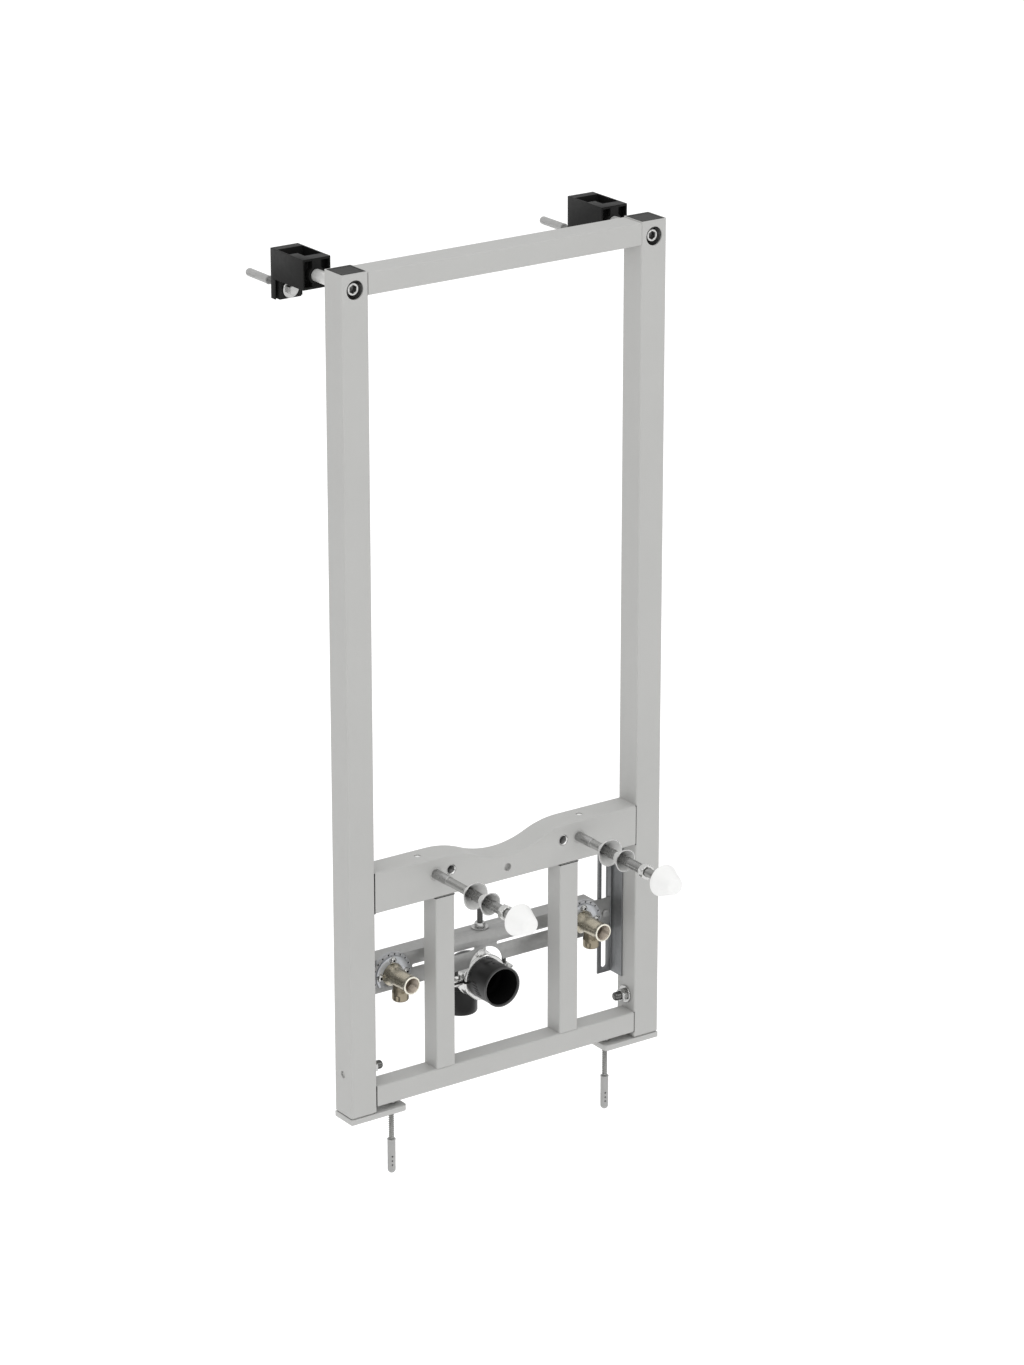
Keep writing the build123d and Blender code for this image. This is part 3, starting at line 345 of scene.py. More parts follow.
@dataclass
class Piece:
    """One visible piece, gathered as surface grids in the setting-out frame."""

    name: str
    points: list[np.ndarray] = field(default_factory=list)
    faces: list[np.ndarray] = field(default_factory=list)
    parts: list[np.ndarray] = field(default_factory=list)
    count: int = 0

    def add(
        self, grid: np.ndarray, along: Along = Along.UP, at: tuple = (0.0, 0.0, 0.0),
        part: int | np.ndarray = 0, closed: bool = False,
    ) -> None:
        """Adds a grid of points that closes on itself across its columns.

        Args:
            grid: local points as (rows, columns, 3); columns go round the shape.
            along: where its third coordinate points.
            at: place of its origin in the setting-out frame.
            part: index of the finish in the piece's list, or one for each face, row by row.
            closed: whether the last row joins the first.
        """
        rows, columns = grid.shape[:2]
        index = np.arange(rows * columns).reshape(rows, columns) + self.count
        right = np.roll(index, -1, axis=1)
        below, below_right = np.roll(index, -1, axis=0), np.roll(right, -1, axis=0)
        last = rows if closed else rows - 1
        quads = np.stack([index, right, below_right, below], axis=-1)[:last].reshape(-1, 4)
        self.points.append(along.place(grid, at).reshape(-1, 3))
        self.faces.append(quads)
        self.parts.append(np.broadcast_to(part, len(quads)))
        self.count += rows * columns

    def build(
        self, setting: SettingOut, finishes: list[bpy.types.Material], crease: float
    ) -> bpy.types.Object:
        """Makes the mesh object, with its seams merged and its normals outwards.

        Args:
            setting: the setting-out frame.
            finishes: materials, in the order of the parts' indices.
            crease: edges sharper than this many degrees stay sharp.

        Returns:
            The object, at the origin, with its place in its mesh.
        """
        mesh = bpy.data.meshes.new(self.name)
        points = setting.metres(np.concatenate(self.points))
        mesh.from_pydata(points.tolist(), [], np.concatenate(self.faces).tolist())
        for finish in finishes:
            mesh.materials.append(finish)
        mesh.polygons.foreach_set("material_index", np.concatenate(self.parts).astype(np.int32))
        work = bmesh.new()
        work.from_mesh(mesh)
        bmesh.ops.remove_doubles(work, verts=work.verts, dist=MERGE_DISTANCE)
        bmesh.ops.dissolve_degenerate(work, edges=work.edges, dist=1e-7)
        bmesh.ops.recalc_face_normals(work, faces=work.faces)
        work.to_mesh(mesh)
        work.free()
        mesh.shade_smooth()
        mesh.set_sharp_from_angle(angle=math.radians(crease))
        piece = bpy.data.objects.new(self.name, mesh)
        bpy.context.scene.collection.objects.link(piece)
        return piece


def ring_angles(steps: int) -> np.ndarray:
    """Angles of one turn, evenly spaced, without the repeated last one."""
    return np.arange(steps) * TAU / steps


def angle_from(angle: np.ndarray, degrees: float) -> np.ndarray:
    """Angles measured from a direction, between minus and plus half a turn."""
    return np.angle(np.exp(1j * (angle - math.radians(degrees))))


def polar(radius: np.ndarray | float, angle: np.ndarray | float, height: np.ndarray | float) -> np.ndarray:
    """Points at a distance from the axis, an angle round it and a height along it."""
    radius, angle, height = np.broadcast_arrays(radius, angle, height)
    return np.stack([radius * np.cos(angle), radius * np.sin(angle), height], axis=-1)


def ring_points(radius: np.ndarray | float, angle: np.ndarray) -> np.ndarray:
    """Flat outline of points at a radius for each angle."""
    return polar(radius, angle, 0.0)[..., :2]


def rings(levels: list[tuple], angle: np.ndarray) -> np.ndarray:
    """Surface through rings round the axis, each a radius, or one for each angle, and a height."""
    return np.stack([polar(radius, angle, height) for radius, height in levels])


def turned(profile: list | np.ndarray, steps: int = 48) -> np.ndarray:
    """Surface of revolution: each profile point (radius, height) goes round the axis."""
    radius, height = np.asarray(profile, float).T[..., None]
    return polar(radius, ring_angles(steps), height)


def lofted(levels: list[tuple[np.ndarray, float]]) -> np.ndarray:
    """Surface through flat outlines stacked at their heights, one row for each."""
    return np.stack([np.column_stack([outline, np.full(len(outline), height)]) for outline, height in levels])


def hexagon_radius(angle: np.ndarray, across: float) -> np.ndarray:
    """Distance from a hexagon's centre to its side: half its size across flats over the cosine
    of the angle from the nearest flat's middle."""
    sector = TAU / 6
    return across / 2 / np.cos((angle + sector / 2) % sector - sector / 2)


def quarter_turn(radius: float, height: float, rounding: float, steps: int) -> np.ndarray:
    """Profile (radius, height) of a side that turns over into the top by a quarter circle."""
    turn = np.linspace(0, math.pi / 2, steps)
    return np.stack([radius - rounding * (1 - np.cos(turn)), height - rounding * (1 - np.sin(turn))], axis=-1)


def thread_wave(turns: np.ndarray) -> np.ndarray:
    """Thread form between 0 at the crest and 1 at the root: a triangle wave with both ends cut flat."""
    wave = np.abs((turns % 1.0) * 2 - 1)
    return np.clip(wave * 1.5 - 0.25, 0.0, 1.0)


@dataclass(frozen=True)
class ThreadForm:
    """Sizes of a screw thread and how finely it is drawn."""

    pitch: float
    depth: float
    steps: int = 24
    rows_per_turn: int = 7

    def _levels(self, start: float, end: float) -> np.ndarray:
        """Heights of the rows from one end to the other."""
        return np.linspace(start, end, int(abs(end - start) / self.pitch * self.rows_per_turn) + 2)[:, None]

    def rod(self, radius: float, start: float, end: float, chamfer: float = 1.0) -> np.ndarray:
        """Threaded rod with closed, chamfered ends: the radius falls by the thread's depth with a
        wave whose phase turns once round the rod for each pitch along it.

        Args:
            radius: outside radius of the thread.
            start: where the rod begins along its axis.
            end: where it ends.
            chamfer: length over which each end tapers.

        Returns:
            Grid of local points.
        """
        height, angle = self._levels(start, end), ring_angles(self.steps)
        wave = thread_wave(height / self.pitch - angle / TAU)
        near_end = np.minimum(height - start, end - height)
        limit = radius - self.depth * 1.2 * np.clip(1 - near_end / chamfer, 0, 1)
        grid = polar(np.minimum(radius - self.depth * wave, limit), angle, height)
        return np.concatenate([rings([(0.0, start)], angle), grid, rings([(0.0, end)], angle)])

    def bore(self, outside: float, inside: float, start: float, end: float, chamfer: float) -> np.ndarray:
        """Ring with a threaded bore: outer wall, end face, threaded wall and the other end face.

        Args:
            outside: outer radius.
            inside: radius of the thread's crests in the bore.
            start: where the ring begins along its axis.
            end: where it ends.
            chamfer: countersink at both ends of the bore.

        Returns:
            Grid of local points whose last row joins the first.
        """
        height, angle, ease = self._levels(end, start), ring_angles(self.steps), 0.4
        wave = thread_wave(height / self.pitch - angle / TAU)
        near_end = np.minimum(height - start, end - height)
        wide = inside + chamfer * np.clip(1 - near_end / chamfer, 0, 1)
        inner = polar(np.maximum(inside + self.depth * (1 - wave), wide), angle, height)
        rim = [(outside - ease, start), (outside, start + ease), (outside, end - ease), (outside - ease, end)]
        return np.concatenate([turned(rim, self.steps), inner])


def hex_nut(across: float, start: float, end: float, hole: float, ease: float = 0.5) -> np.ndarray:
    """Chamfered hexagon ring: the hexagon's radius, cut back near each end by a cone as on a real nut.

    Args:
        across: size across flats.
        start: where the nut begins along its axis.
        end: where it ends.
        hole: radius of its hole.
        ease: countersink of the hole.

    Returns:
        Grid of local points whose last row joins the first.
    """
    angle = ring_angles(72)
    outline, inner = hexagon_radius(angle, across), across / 2 * 0.94
    steps = [(outline.max() - inner) * share for share in (0.0, 0.3, 0.75)]
    heights = [start + step for step in steps] + [end - step for step in reversed(steps)]
    rows = [(np.minimum(outline, inner + min(at - start, end - at) * 1.7), at) for at in heights]
    rows += [(hole + ease, end), (hole, end - ease), (hole, start + ease), (hole + ease, start)]
    return rings(rows, angle)


def hex_head(across: float, base: float, top: float) -> np.ndarray:
    """Hexagon screw head: chamfered at its outer end, with a slightly crowned face and a closed base."""
    angle = ring_angles(72)
    outline, inner = hexagon_radius(angle, across), across / 2 * 0.92
    slope = outline.max() - inner
    levels = [(0.0, base), (outline, base), (outline, top - slope * 0.55)]
    levels.append((np.minimum(outline, inner + slope * 0.5), top - slope * 0.25))
    levels.append((np.minimum(outline, inner), top))
    return rings(levels + [(inner * 0.55, top + 0.16), (0.0, top + 0.2)], angle)


def collar(outside: float, inside: float, start: float, end: float, ease: float = 0.5) -> np.ndarray:
    """Flat ring or tube with eased outer edges, as a closed profile turned round the axis."""
    rim = [(inside, start), (outside - ease, start), (outside, start + ease), (outside, end - ease)]
    return turned(rim + [(outside - ease, end), (inside, end)], 64)


def cup_washer(
    outside: float, hub: float, inside: float, rim: float, depth: float, wall: float
) -> np.ndarray:
    """Funnel open to the front: a closed profile of a cone's two sides, joined by a rounded rim.

    Args:
        outside: radius at the rim.
        hub: radius of the narrow end.
        inside: radius of the hole in its floor.
        rim: where the rim is along the axis.
        depth: length from the rim to the back of the hub.
        wall: thickness of the sheet.

    Returns:
        Grid of local points whose last row joins the first: six rows of the outer side, three of the
        rim and four of the inner side and the floor.
    """
    back, middle = rim - depth, (hub + outside) / 2
    outer = [(inside, back), (hub - 0.4, back), (hub, back + 0.5), (hub + 0.3, back + 1.6)]
    outer += [(middle, rim - depth / 2), (outside - 0.4, rim - 1.0)]
    edge = [(outside, rim - 0.35), (outside - 0.35, rim), (outside - wall, rim - 0.2)]
    inner = [(middle + 1.2 - wall, rim - depth / 2 + 2.4), (hub - wall + 1.6, back + wall + 2.6)]
    return turned(outer + edge + inner + [(hub - wall + 0.4, back + wall + 0.4), (inside, back + wall)], 72)


def box_grid(low: tuple, high: tuple) -> np.ndarray:
    """Closed box: its four upright edges as columns, with both ends drawn in to their middles."""
    corners = np.array([(low[0], low[1]), (high[0], low[1]), (high[0], high[1]), (low[0], high[1])])
    middle = np.repeat(corners.mean(axis=0)[None, :], 4, axis=0)
    return lofted([(middle, low[2]), (corners, low[2]), (corners, high[2]), (middle, high[2])])


def rounded_block(half_x: float, half_y: float, corner: float, steps: int = 48) -> np.ndarray:
    """Rectangular outline with rounded corners: quarter circles about points set in from the corners."""
    angle = ring_angles(steps) + TAU / steps / 2
    quarter = np.floor(angle / (TAU / 4)) * TAU / 4 + TAU / 8
    inset = np.array((half_x - corner, half_y - corner))
    return np.sign(ring_points(1.0, quarter)) * inset + ring_points(corner, angle)


def slab(outline: np.ndarray, start: float, end: float, ease: float = 0.5) -> np.ndarray:
    """Solid plate of an outline with eased edges: shrunk by the ease at its two faces and closed there."""
    shrunk = outline * (1 - ease / np.linalg.norm(outline, axis=1, keepdims=True))
    point, half = outline * 0, outline * 0.5 + shrunk * 0.5
    near, far = start + ease * 0.3, end - ease * 0.3
    levels = [(point, start), (shrunk, start), (half, near), (outline, start + ease)]
    return lofted(levels + [(outline, end - ease), (half, far), (shrunk, end), (point, end)])


def socket_screw(
    radius: float, base: float, top: float, socket: float, deep: float, rounding: float
) -> np.ndarray:
    """Round screw head: its side turns over into the top by a quarter circle, with a hexagon socket.

    Args:
        radius: radius of the head.
        base: where it stands.
        top: where it ends.
        socket: size of the socket across its flats.
        deep: depth of the socket.
        rounding: radius of the rounded edge.

    Returns:
        Grid of local points; its socket starts at the row SOCKET_ROW.
    """
    angle = ring_angles(48)
    hexagon = hexagon_radius(angle, socket)
    levels = [(0.0, base), (radius, base), *quarter_turn(radius, top, rounding, 6)]
    levels += [(hexagon * 1.12, top), (hexagon, top - deep * 0.12), (hexagon, top - deep)]
    return rings(levels + [(hexagon * 0.02, top - deep * 1.15)], angle)


def expansion_plug(radius: float, rim: float, length: float, dots_at: float) -> tuple[np.ndarray, np.ndarray]:
    """Wall plug: a bar with a thin collar at its mouth, two slots that deepen over its split half,
    rows of small teeth beside them, three round dents in a line and a rounded end.

    Args:
        radius: radius of the plug and of its rounded end.
        rim: radius of the collar.
        length: length from the mouth to the tip.
        dots_at: direction of the line of dents in degrees.

    Returns:
        Grid of local points, mouth first, and 1 for each face in a dent, which is coloured dark as painted
        shade, or else 0.
    """
    angle, body = ring_angles(64), length - radius
    curve = length - radius * (1 - np.sin(np.linspace(0.05, 1.5, 12)))
    along = np.concatenate([np.linspace(0, body, 90), curve])[:, None]
    split = np.clip((along / length - 0.45) / 0.08, 0, 1) * np.clip((length - 3.0 - along) / 2.0, 0, 1)
    slot = np.exp(-((np.sin(angle) / 0.16) ** 4)) * 0.9 * split
    toothed = along - length * 0.6
    teeth_zone = np.clip(toothed / 2, 0, 1) * np.clip((length - 5.0 - along) / 2, 0, 1)
    teeth_phase = np.clip(np.sin(TAU * toothed / 6.0) - 0.55, 0, 1)
    teeth = np.exp(-((np.cos(angle - 0.35) / 0.3) ** 4)) * 0.9 * teeth_phase * teeth_zone
    wall = radius + (rim - radius) * np.clip((1.6 - along) / 0.5, 0, 1)
    past = np.clip((along - body) / radius, 0, 1)
    wall = wall * np.sqrt(np.clip(1 - past**2 * 0.985, 0, 1)) - slot - teeth
    across = angle_from(angle, dots_at) * radius
    dots = [share * length for share in (0.49, 0.62, 0.74)]
    dents = sum(np.exp(-((np.hypot(along - dot, across) / 1.25) ** 4)) for dot in dots)
    ends = [rings([(0.0, height)], angle) for height in (0.0, along[-1, 0])]
    dark = np.concatenate([dents[:1] * 0, dents])
    grid = np.concatenate([ends[0], polar(wall - 1.1 * dents, angle, along), ends[1]])
    return grid, np.where(dark > 0.5, 1, 0).ravel()


def swept_section(section: np.ndarray, angles: np.ndarray) -> np.ndarray:
    """Closed section of points (radius, height) carried round an arc, with both ends closed."""
    middle = np.repeat(section.mean(axis=0)[None, :], len(section), axis=0)
    sections, turns = [middle] + [section] * len(angles) + [middle], [angles[0], *angles, angles[-1]]
    return np.stack([polar(ring[:, 0], turn, ring[:, 1]) for ring, turn in zip(sections, turns)])


@dataclass
class SubAssembly:
    """Base of the sub-assemblies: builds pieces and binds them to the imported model."""

    setting: SettingOut
    materials: dict[str, bpy.types.Material]
    nodes: dict[str, bpy.types.Object]

    def dress(
        self, piece: Piece, looks: tuple[str, ...], slot: str, node: str = "", body: str = "frame",
        crease: float = 30.0,
    ) -> None:
        """Builds a piece and binds it.

        Args:
            piece: the gathered surfaces.
            looks: names of its finishes in order.
            slot: the record's material slot; not used.
            node: CAD node that it stands for, if any.
            body: the CAD body it rides on.
            crease: smoothing limit in degrees.
        """
        shown = piece.build(self.setting, [self.materials[name] for name in looks], crease)
        self.bind(shown, slot, node, body)

    @staticmethod
    def bind(shown: bpy.types.Object, slot: str, node: str, body: str) -> None:
        """Attaches a piece to the body it rides on and hides the CAD node that it stands for."""
        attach(shown, body)
        if node:
            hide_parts(node)
        LOG.info("%s: %d faces", shown.name, len(shown.data.polygons))


@dataclass
class BowlFixings(SubAssembly):
    """The two studs with their sleeves, washers, nuts and caps, and the bushes in the beam."""

    height: float = 326.5
    stud_spacing: float = 230.0
    insert_spacing: float = 180.0
    stud_radius: float = 6.0
    stud_out: float = 203.0
    stud_root: float = 34.0
    stud_pitch: float = 1.75
    sleeve_radius: float = 6.7
    root_sleeve: float = 32.0
    sleeve_behind_rim: float = 6.0
    rims_out: dict = field(default_factory=lambda: {"left": (92.5, 126.0), "right": (72.0, 106.0)})
    washer_radii: tuple = (19.0, 15.5)
    washer_hub: float = 7.5
    washer_depth: float = 18.0
    washer_wall: float = 1.3
    nut_out: dict = field(default_factory=lambda: {"left": 155.0, "right": 145.5})
    nut_across: float = 19.0
    nut_height: float = 10.0
    cap_start: float = 188.0
    cap_length: float = 29.5
    cap_radius: float = 22.0
    cap_tip_radius: float = 10.8
    cap_rounding: float = 8.0
    cap_ease: float = 0.9
    insert_bore: float = 5.6
    insert_seat: float = -1.2
    insert_thread_start: float = -1.6
    bush_radius: float = 9.0
    groove_radius: float = 7.5
    cone_radius: float = 6.9
    beam_depth: float = 40.0
    beam_middle: float = 20.0
    hole_spacing: float = 260.0
    hole_radius: float = 4.5
    beam_top: float = 348.8

    @property
    def stud_hole(self) -> float:
        """Radius of the holes of what sits on a stud."""
        return self.stud_radius + CLEARANCE

    def build(self) -> None:
        """Builds both sides."""
        for name, side in SIDES:
            origin = (side * self.stud_spacing / 2, 0.0, self.height)
            self._stud(name, origin)
            self._sleeves(name, origin)
            self._nut_and_washers(name, origin)
            self._cap(name, origin)
            self._bushes(name, side, origin)
        self._hole_domes()

    def _stud(self, name: str, origin: tuple) -> None:
        """Threaded stud with closed ends, its thread painted darker inside the cup washers as painted shade.
        """
        piece, thread = Piece(f"{name}_threaded_stud"), ThreadForm(self.stud_pitch, 0.95)
        rod = thread.rod(self.stud_radius, -self.stud_root, self.stud_out)
        height = rod[:-1, 0, 2]
        # Rows of the thread inside each cup washer take the darker steel as painted shade.
        shaded = np.zeros(len(height), bool)
        for rim in self.rims_out[name]:
            shaded |= (height > rim - self.washer_depth) & (height < rim - self.sleeve_behind_rim)
        piece.add(rod, Along.FRONT, origin, np.repeat(shaded.astype(int), thread.steps))
        self.dress(piece, ("stud_steel", "screw_steel"), "bright_steel", f"{name}_stud", crease=40.0)

    def _sleeves(self, name: str, origin: tuple) -> None:
        """Smooth sleeve at the beam, and one that starts inside each cup washer."""
        piece = Piece(f"{name}_sleeves")
        root = collar(self.sleeve_radius, self.stud_hole, 0.0, self.root_sleeve)
        piece.add(root, Along.FRONT, origin, 1, closed=True)
        ends = (self.rims_out[name][1] - self.washer_depth, self.nut_out[name])
        for rim, end in zip(self.rims_out[name], ends):
            sleeve = collar(self.sleeve_radius, self.stud_hole, rim - self.sleeve_behind_rim, end)
            piece.add(sleeve, Along.FRONT, origin, closed=True)
        self.dress(piece, ("sleeve_steel", "root_steel"), "bright_steel", f"{name}_stud_sleeves")

    def _nut_and_washers(self, name: str, origin: tuple) -> None:
        """Two cup washers, with a painted highlight on their rims and painted shade on their floors, and the
        chamfered nut.
        """
        piece = Piece(f"{name}_nut_and_washers")
        # Painted highlight: the rim rows take the shinier bright steel. Painted shade: the floor rows take
        # the darker sleeve steel.
        outer, rim_highlight_rows, inner, floor = [0] * 5, [2] * 3, [0] * 3, [3] * 2
        for rim, radius in zip(self.rims_out[name], self.washer_radii):
            sizes = (radius, self.washer_hub, self.stud_hole, rim, self.washer_depth, self.washer_wall)
            cup = cup_washer(*sizes)
            part = np.repeat(outer + rim_highlight_rows + inner + floor, cup.shape[1])
            piece.add(cup, Along.FRONT, origin, part, closed=True)
        out = self.nut_out[name]
        nut = hex_nut(self.nut_across, out, out + self.nut_height, self.stud_hole)
        piece.add(nut, Along.FRONT, origin, 1, closed=True)
        looks = ("washer_steel", "nut_steel", "bright_steel", "sleeve_steel")
        self.dress(piece, looks, "bright_steel", f"{name}_stud_nut_and_washers")

    def _cap(self, name: str, origin: tuple) -> None:
        """Cone whose side turns over into its small flat tip by an arc, from an eased flat base."""
        piece, rounding, ease = Piece(f"{name}_white_cap"), self.cap_rounding, self.cap_ease
        slope = (self.cap_radius - self.cap_tip_radius) / self.cap_length
        lean = math.atan(slope)
        base, end = self.cap_start, self.cap_start + self.cap_length
        turn = np.linspace(lean, math.pi / 2, 14)
        middle_height = end - rounding
        side_end = middle_height + rounding * math.sin(lean)
        middle_radius = self.cap_radius - slope * (side_end - base) - rounding * math.cos(lean)
        side_height = np.linspace(base + ease, side_end, 12)[:-1]
        side = np.stack([self.cap_radius - slope * (side_height - base), side_height], axis=-1)
        tip = ring_points(rounding, turn) + np.array((middle_radius, middle_height))
        hole_end = self.stud_out - 0.5
        start = [(0.0, hole_end), (self.stud_hole, hole_end), (self.stud_hole, base)]
        start += [(self.cap_radius - ease, base), (self.cap_radius - ease * 0.45, base + ease * 0.3)]
        piece.add(turned([*start, *side, *tip, (0.0, end)], 96), Along.FRONT, origin)
        self.dress(piece, ("white_plastic",), "white_plastic", f"{name}_stud_cap", crease=50.0)

    def _bushes(self, name: str, side: int, stud_at: tuple) -> None:
        """Open threaded bush for the closer spacing, and the bush that holds the stud."""
        piece, thread = Piece(f"{name}_beam_bushes"), ThreadForm(self.stud_pitch, 0.7, 48)
        at = (side * self.insert_spacing / 2, 0.0, self.height)
        groove, cone, seat, back = self.groove_radius, self.cone_radius, self.insert_seat, -self.beam_depth
        mouth, start = self.insert_bore, self.insert_thread_start
        shell = [(groove, seat), (groove, 0.0), (self.bush_radius, 0.0)]
        shell += [(self.bush_radius, back), (cone, back)]
        funnel = [(cone, seat), (cone, -0.15), (cone - 0.3, 0.0), (mouth, start)]
        piece.add(turned(shell), Along.FRONT, at)
        # A thin near black ring at the seat: a painted shadow round the bush.
        piece.add(turned([(groove, seat), (cone, seat)]), Along.FRONT, at, 2)
        piece.add(turned(funnel), Along.FRONT, at, 1)
        piece.add(thread.bore(cone, mouth, back, start, 0.6), Along.FRONT, at, 3, closed=True)
        boss = collar(self.bush_radius, self.stud_radius, back + 2.5, 0.0)
        piece.add(boss, Along.FRONT, stud_at, closed=True)
        looks = ("painted_steel", "bush_steel", "dark_gap", "dull_steel")
        self.dress(piece, looks, "frame_paint", f"{name}_fixing_bushes")

    def _hole_domes(self) -> None:
        """White domes in the two holes in the beam's top, just under its surface."""
        piece, radius, base = Piece("beam_hole_plugs"), self.hole_radius - 0.15, self.beam_top - 6.0
        crown = np.linspace(0, 1, 7)
        dome = np.stack([radius * (1 - crown**2), self.beam_top - 1.8 + 0.7 * crown], axis=-1)
        for _, side in SIDES:
            place = (side * self.hole_spacing / 2, self.beam_middle, 0.0)
            piece.add(turned([(0.0, base), (radius, base), *dome], 40), Along.UP, place)
        self.dress(piece, ("white_plastic",), "white_plastic")


@dataclass
class FloorAndWallFixings(SubAssembly):
    """Screws and plugs of the feet and the wall brackets, and the bolts that clamp the legs."""

    post_x: float = 230.0
    mid_y: float = 20.0
    floor_x: float = 175.0
    plate: float = 7.5
    floor_screw_radius: float = 3.75
    floor_screw_below: float = 52.0
    floor_head_height: float = 3.8
    floor_plug_length: float = 49.6
    floor_dots_at: float = math.degrees(-1.27)
    plug_engagement: float = 6.0
    plug_radius: float = 5.4
    plug_collar: float = 5.7
    bolt_height: float = 67.0
    bolt_radius: float = 6.0
    bolt_proud: float = 20.5
    bolt_in: float = 2.0
    bolt_rounding: float = 3.6
    nut_across: float = 16.0
    nut_height: float = 8.0
    flange_radius: float = 12.5
    flange_height: float = 2.5
    flange_teeth: int = 32
    post_inner: float = 210.0
    wall_face: float = 163.0
    wall_screw_height: float = 1100.8
    tab_front: float = 149.0
    washer_radius: float = 11.7
    washer_thickness: float = 1.6
    head_across: float = 13.0
    head_height: float = 5.0
    wall_screw_behind: float = 42.0
    wall_screw_radius: float = 4.0
    wall_plug_length: float = 52.0
    wall_dots_at: float = math.degrees(-0.9)

    def build(self) -> None:
        """Builds both sides."""
        under_floor = self.plug_engagement - self.floor_screw_below
        in_wall = self.wall_face + self.wall_screw_behind - self.plug_engagement
        for name, side in SIDES:
            floor_at = (side * self.floor_x, self.mid_y, under_floor)
            wall_at = (side * self.post_x, in_wall, self.wall_screw_height)
            self._floor_screw(name, side)
            plug = (self.floor_plug_length, self.floor_dots_at)
            self._plug(f"{name}_floor", plug, Along.DOWN, floor_at, f"{name}_foot")
            self._clamp_bolt(name, side)
            self._wall_screw(name, side)
            plug = (self.wall_plug_length, self.wall_dots_at)
            self._plug(f"{name}_wall", plug, Along.BACK, wall_at, "frame")

    def _floor_screw(self, name: str, side: int) -> None:
        """Coarse thread under the plate and a chamfered hexagon head on it."""
        piece, origin = Piece(f"{name}_floor_fixing_screw"), (side * self.floor_x, self.mid_y, 0.0)
        thread = ThreadForm(3.0, 1.0, 28, 9)
        rod = thread.rod(self.floor_screw_radius, -self.floor_screw_below, self.plate, 3.0)
        piece.add(rod, Along.UP, origin)
        head = hex_head(self.head_across, self.plate, self.plate + self.floor_head_height)
        piece.add(head, Along.UP, origin, 1)
        looks, node = ("stud_steel", "bright_steel"), f"{name}_floor_screw"
        self.dress(piece, looks, "bright_steel", node, f"{name}_foot", 40.0)

    def _plug(self, name: str, plug: tuple, along: Along, at: tuple, body: str) -> None:
        """Split plug of a length and direction of its dots on a screw, pointing away from the frame."""
        piece = Piece(f"{name}_fixing_plug")
        grid, dents = expansion_plug(self.plug_radius, self.plug_collar, *plug)
        # The dents take the near black cap plastic as painted shade.
        piece.add(grid, along, at, dents)
        self.dress(piece, ("plug_plastic", "cap_plastic"), "plug_plastic", f"{name}_plug", body, 50.0)

    def _clamp_bolt(self, name: str, side: int) -> None:
        """Flange with fine teeth, chamfered nut and a bolt with a domed end."""
        piece, along = Piece(f"{name}_leg_clamp_bolt"), Along.LEFT if side > 0 else Along.RIGHT
        origin = (side * self.post_inner, self.mid_y, self.bolt_height)
        angle = ring_angles(96)
        teeth = 1 - 0.012 * (0.5 + 0.5 * np.cos(self.flange_teeth * angle))
        flange = ring_points(self.flange_radius * teeth, angle)
        piece.add(slab(flange, 0.0, self.flange_height, 0.7), along, origin)
        start, end = self.flange_height - 0.2, self.flange_height + self.nut_height
        piece.add(hex_nut(self.nut_across, start, end, self.bolt_radius + 0.05), along, origin, closed=True)
        tip = quarter_turn(self.bolt_radius, self.bolt_proud, self.bolt_rounding, 9)
        base = [(0.0, -self.bolt_in), (self.bolt_radius, -self.bolt_in)]
        piece.add(turned([*base, *tip, (0.0, self.bolt_proud)]), along, origin, 1)
        self.dress(piece, ("bright_steel", "bolt_steel"), "bright_steel", f"{name}_clamp_bolt")

    def _wall_screw(self, name: str, side: int) -> None:
        """Washer and hexagon head in front of the tab and a coarse thread behind it."""
        piece, thickness = Piece(f"{name}_wall_fixing_screw"), self.washer_thickness
        origin = (side * self.post_x, self.tab_front, self.wall_screw_height)
        behind = self.wall_face - self.tab_front + self.wall_screw_behind
        thread = ThreadForm(3.2, 1.0, 28, 9)
        piece.add(thread.rod(self.wall_screw_radius, -1.0, behind, 4.0), Along.BACK, origin)
        piece.add(collar(self.washer_radius, 0.0, -thickness, 0.0, 0.4), Along.BACK, origin, 1)
        head = hex_head(self.head_across, thickness, thickness + self.head_height - 0.2)
        piece.add(head, Along.FRONT, origin, 1)
        self.dress(piece, ("dull_steel", "bright_steel"), "bright_steel", f"{name}_wall_screw", crease=40.0)


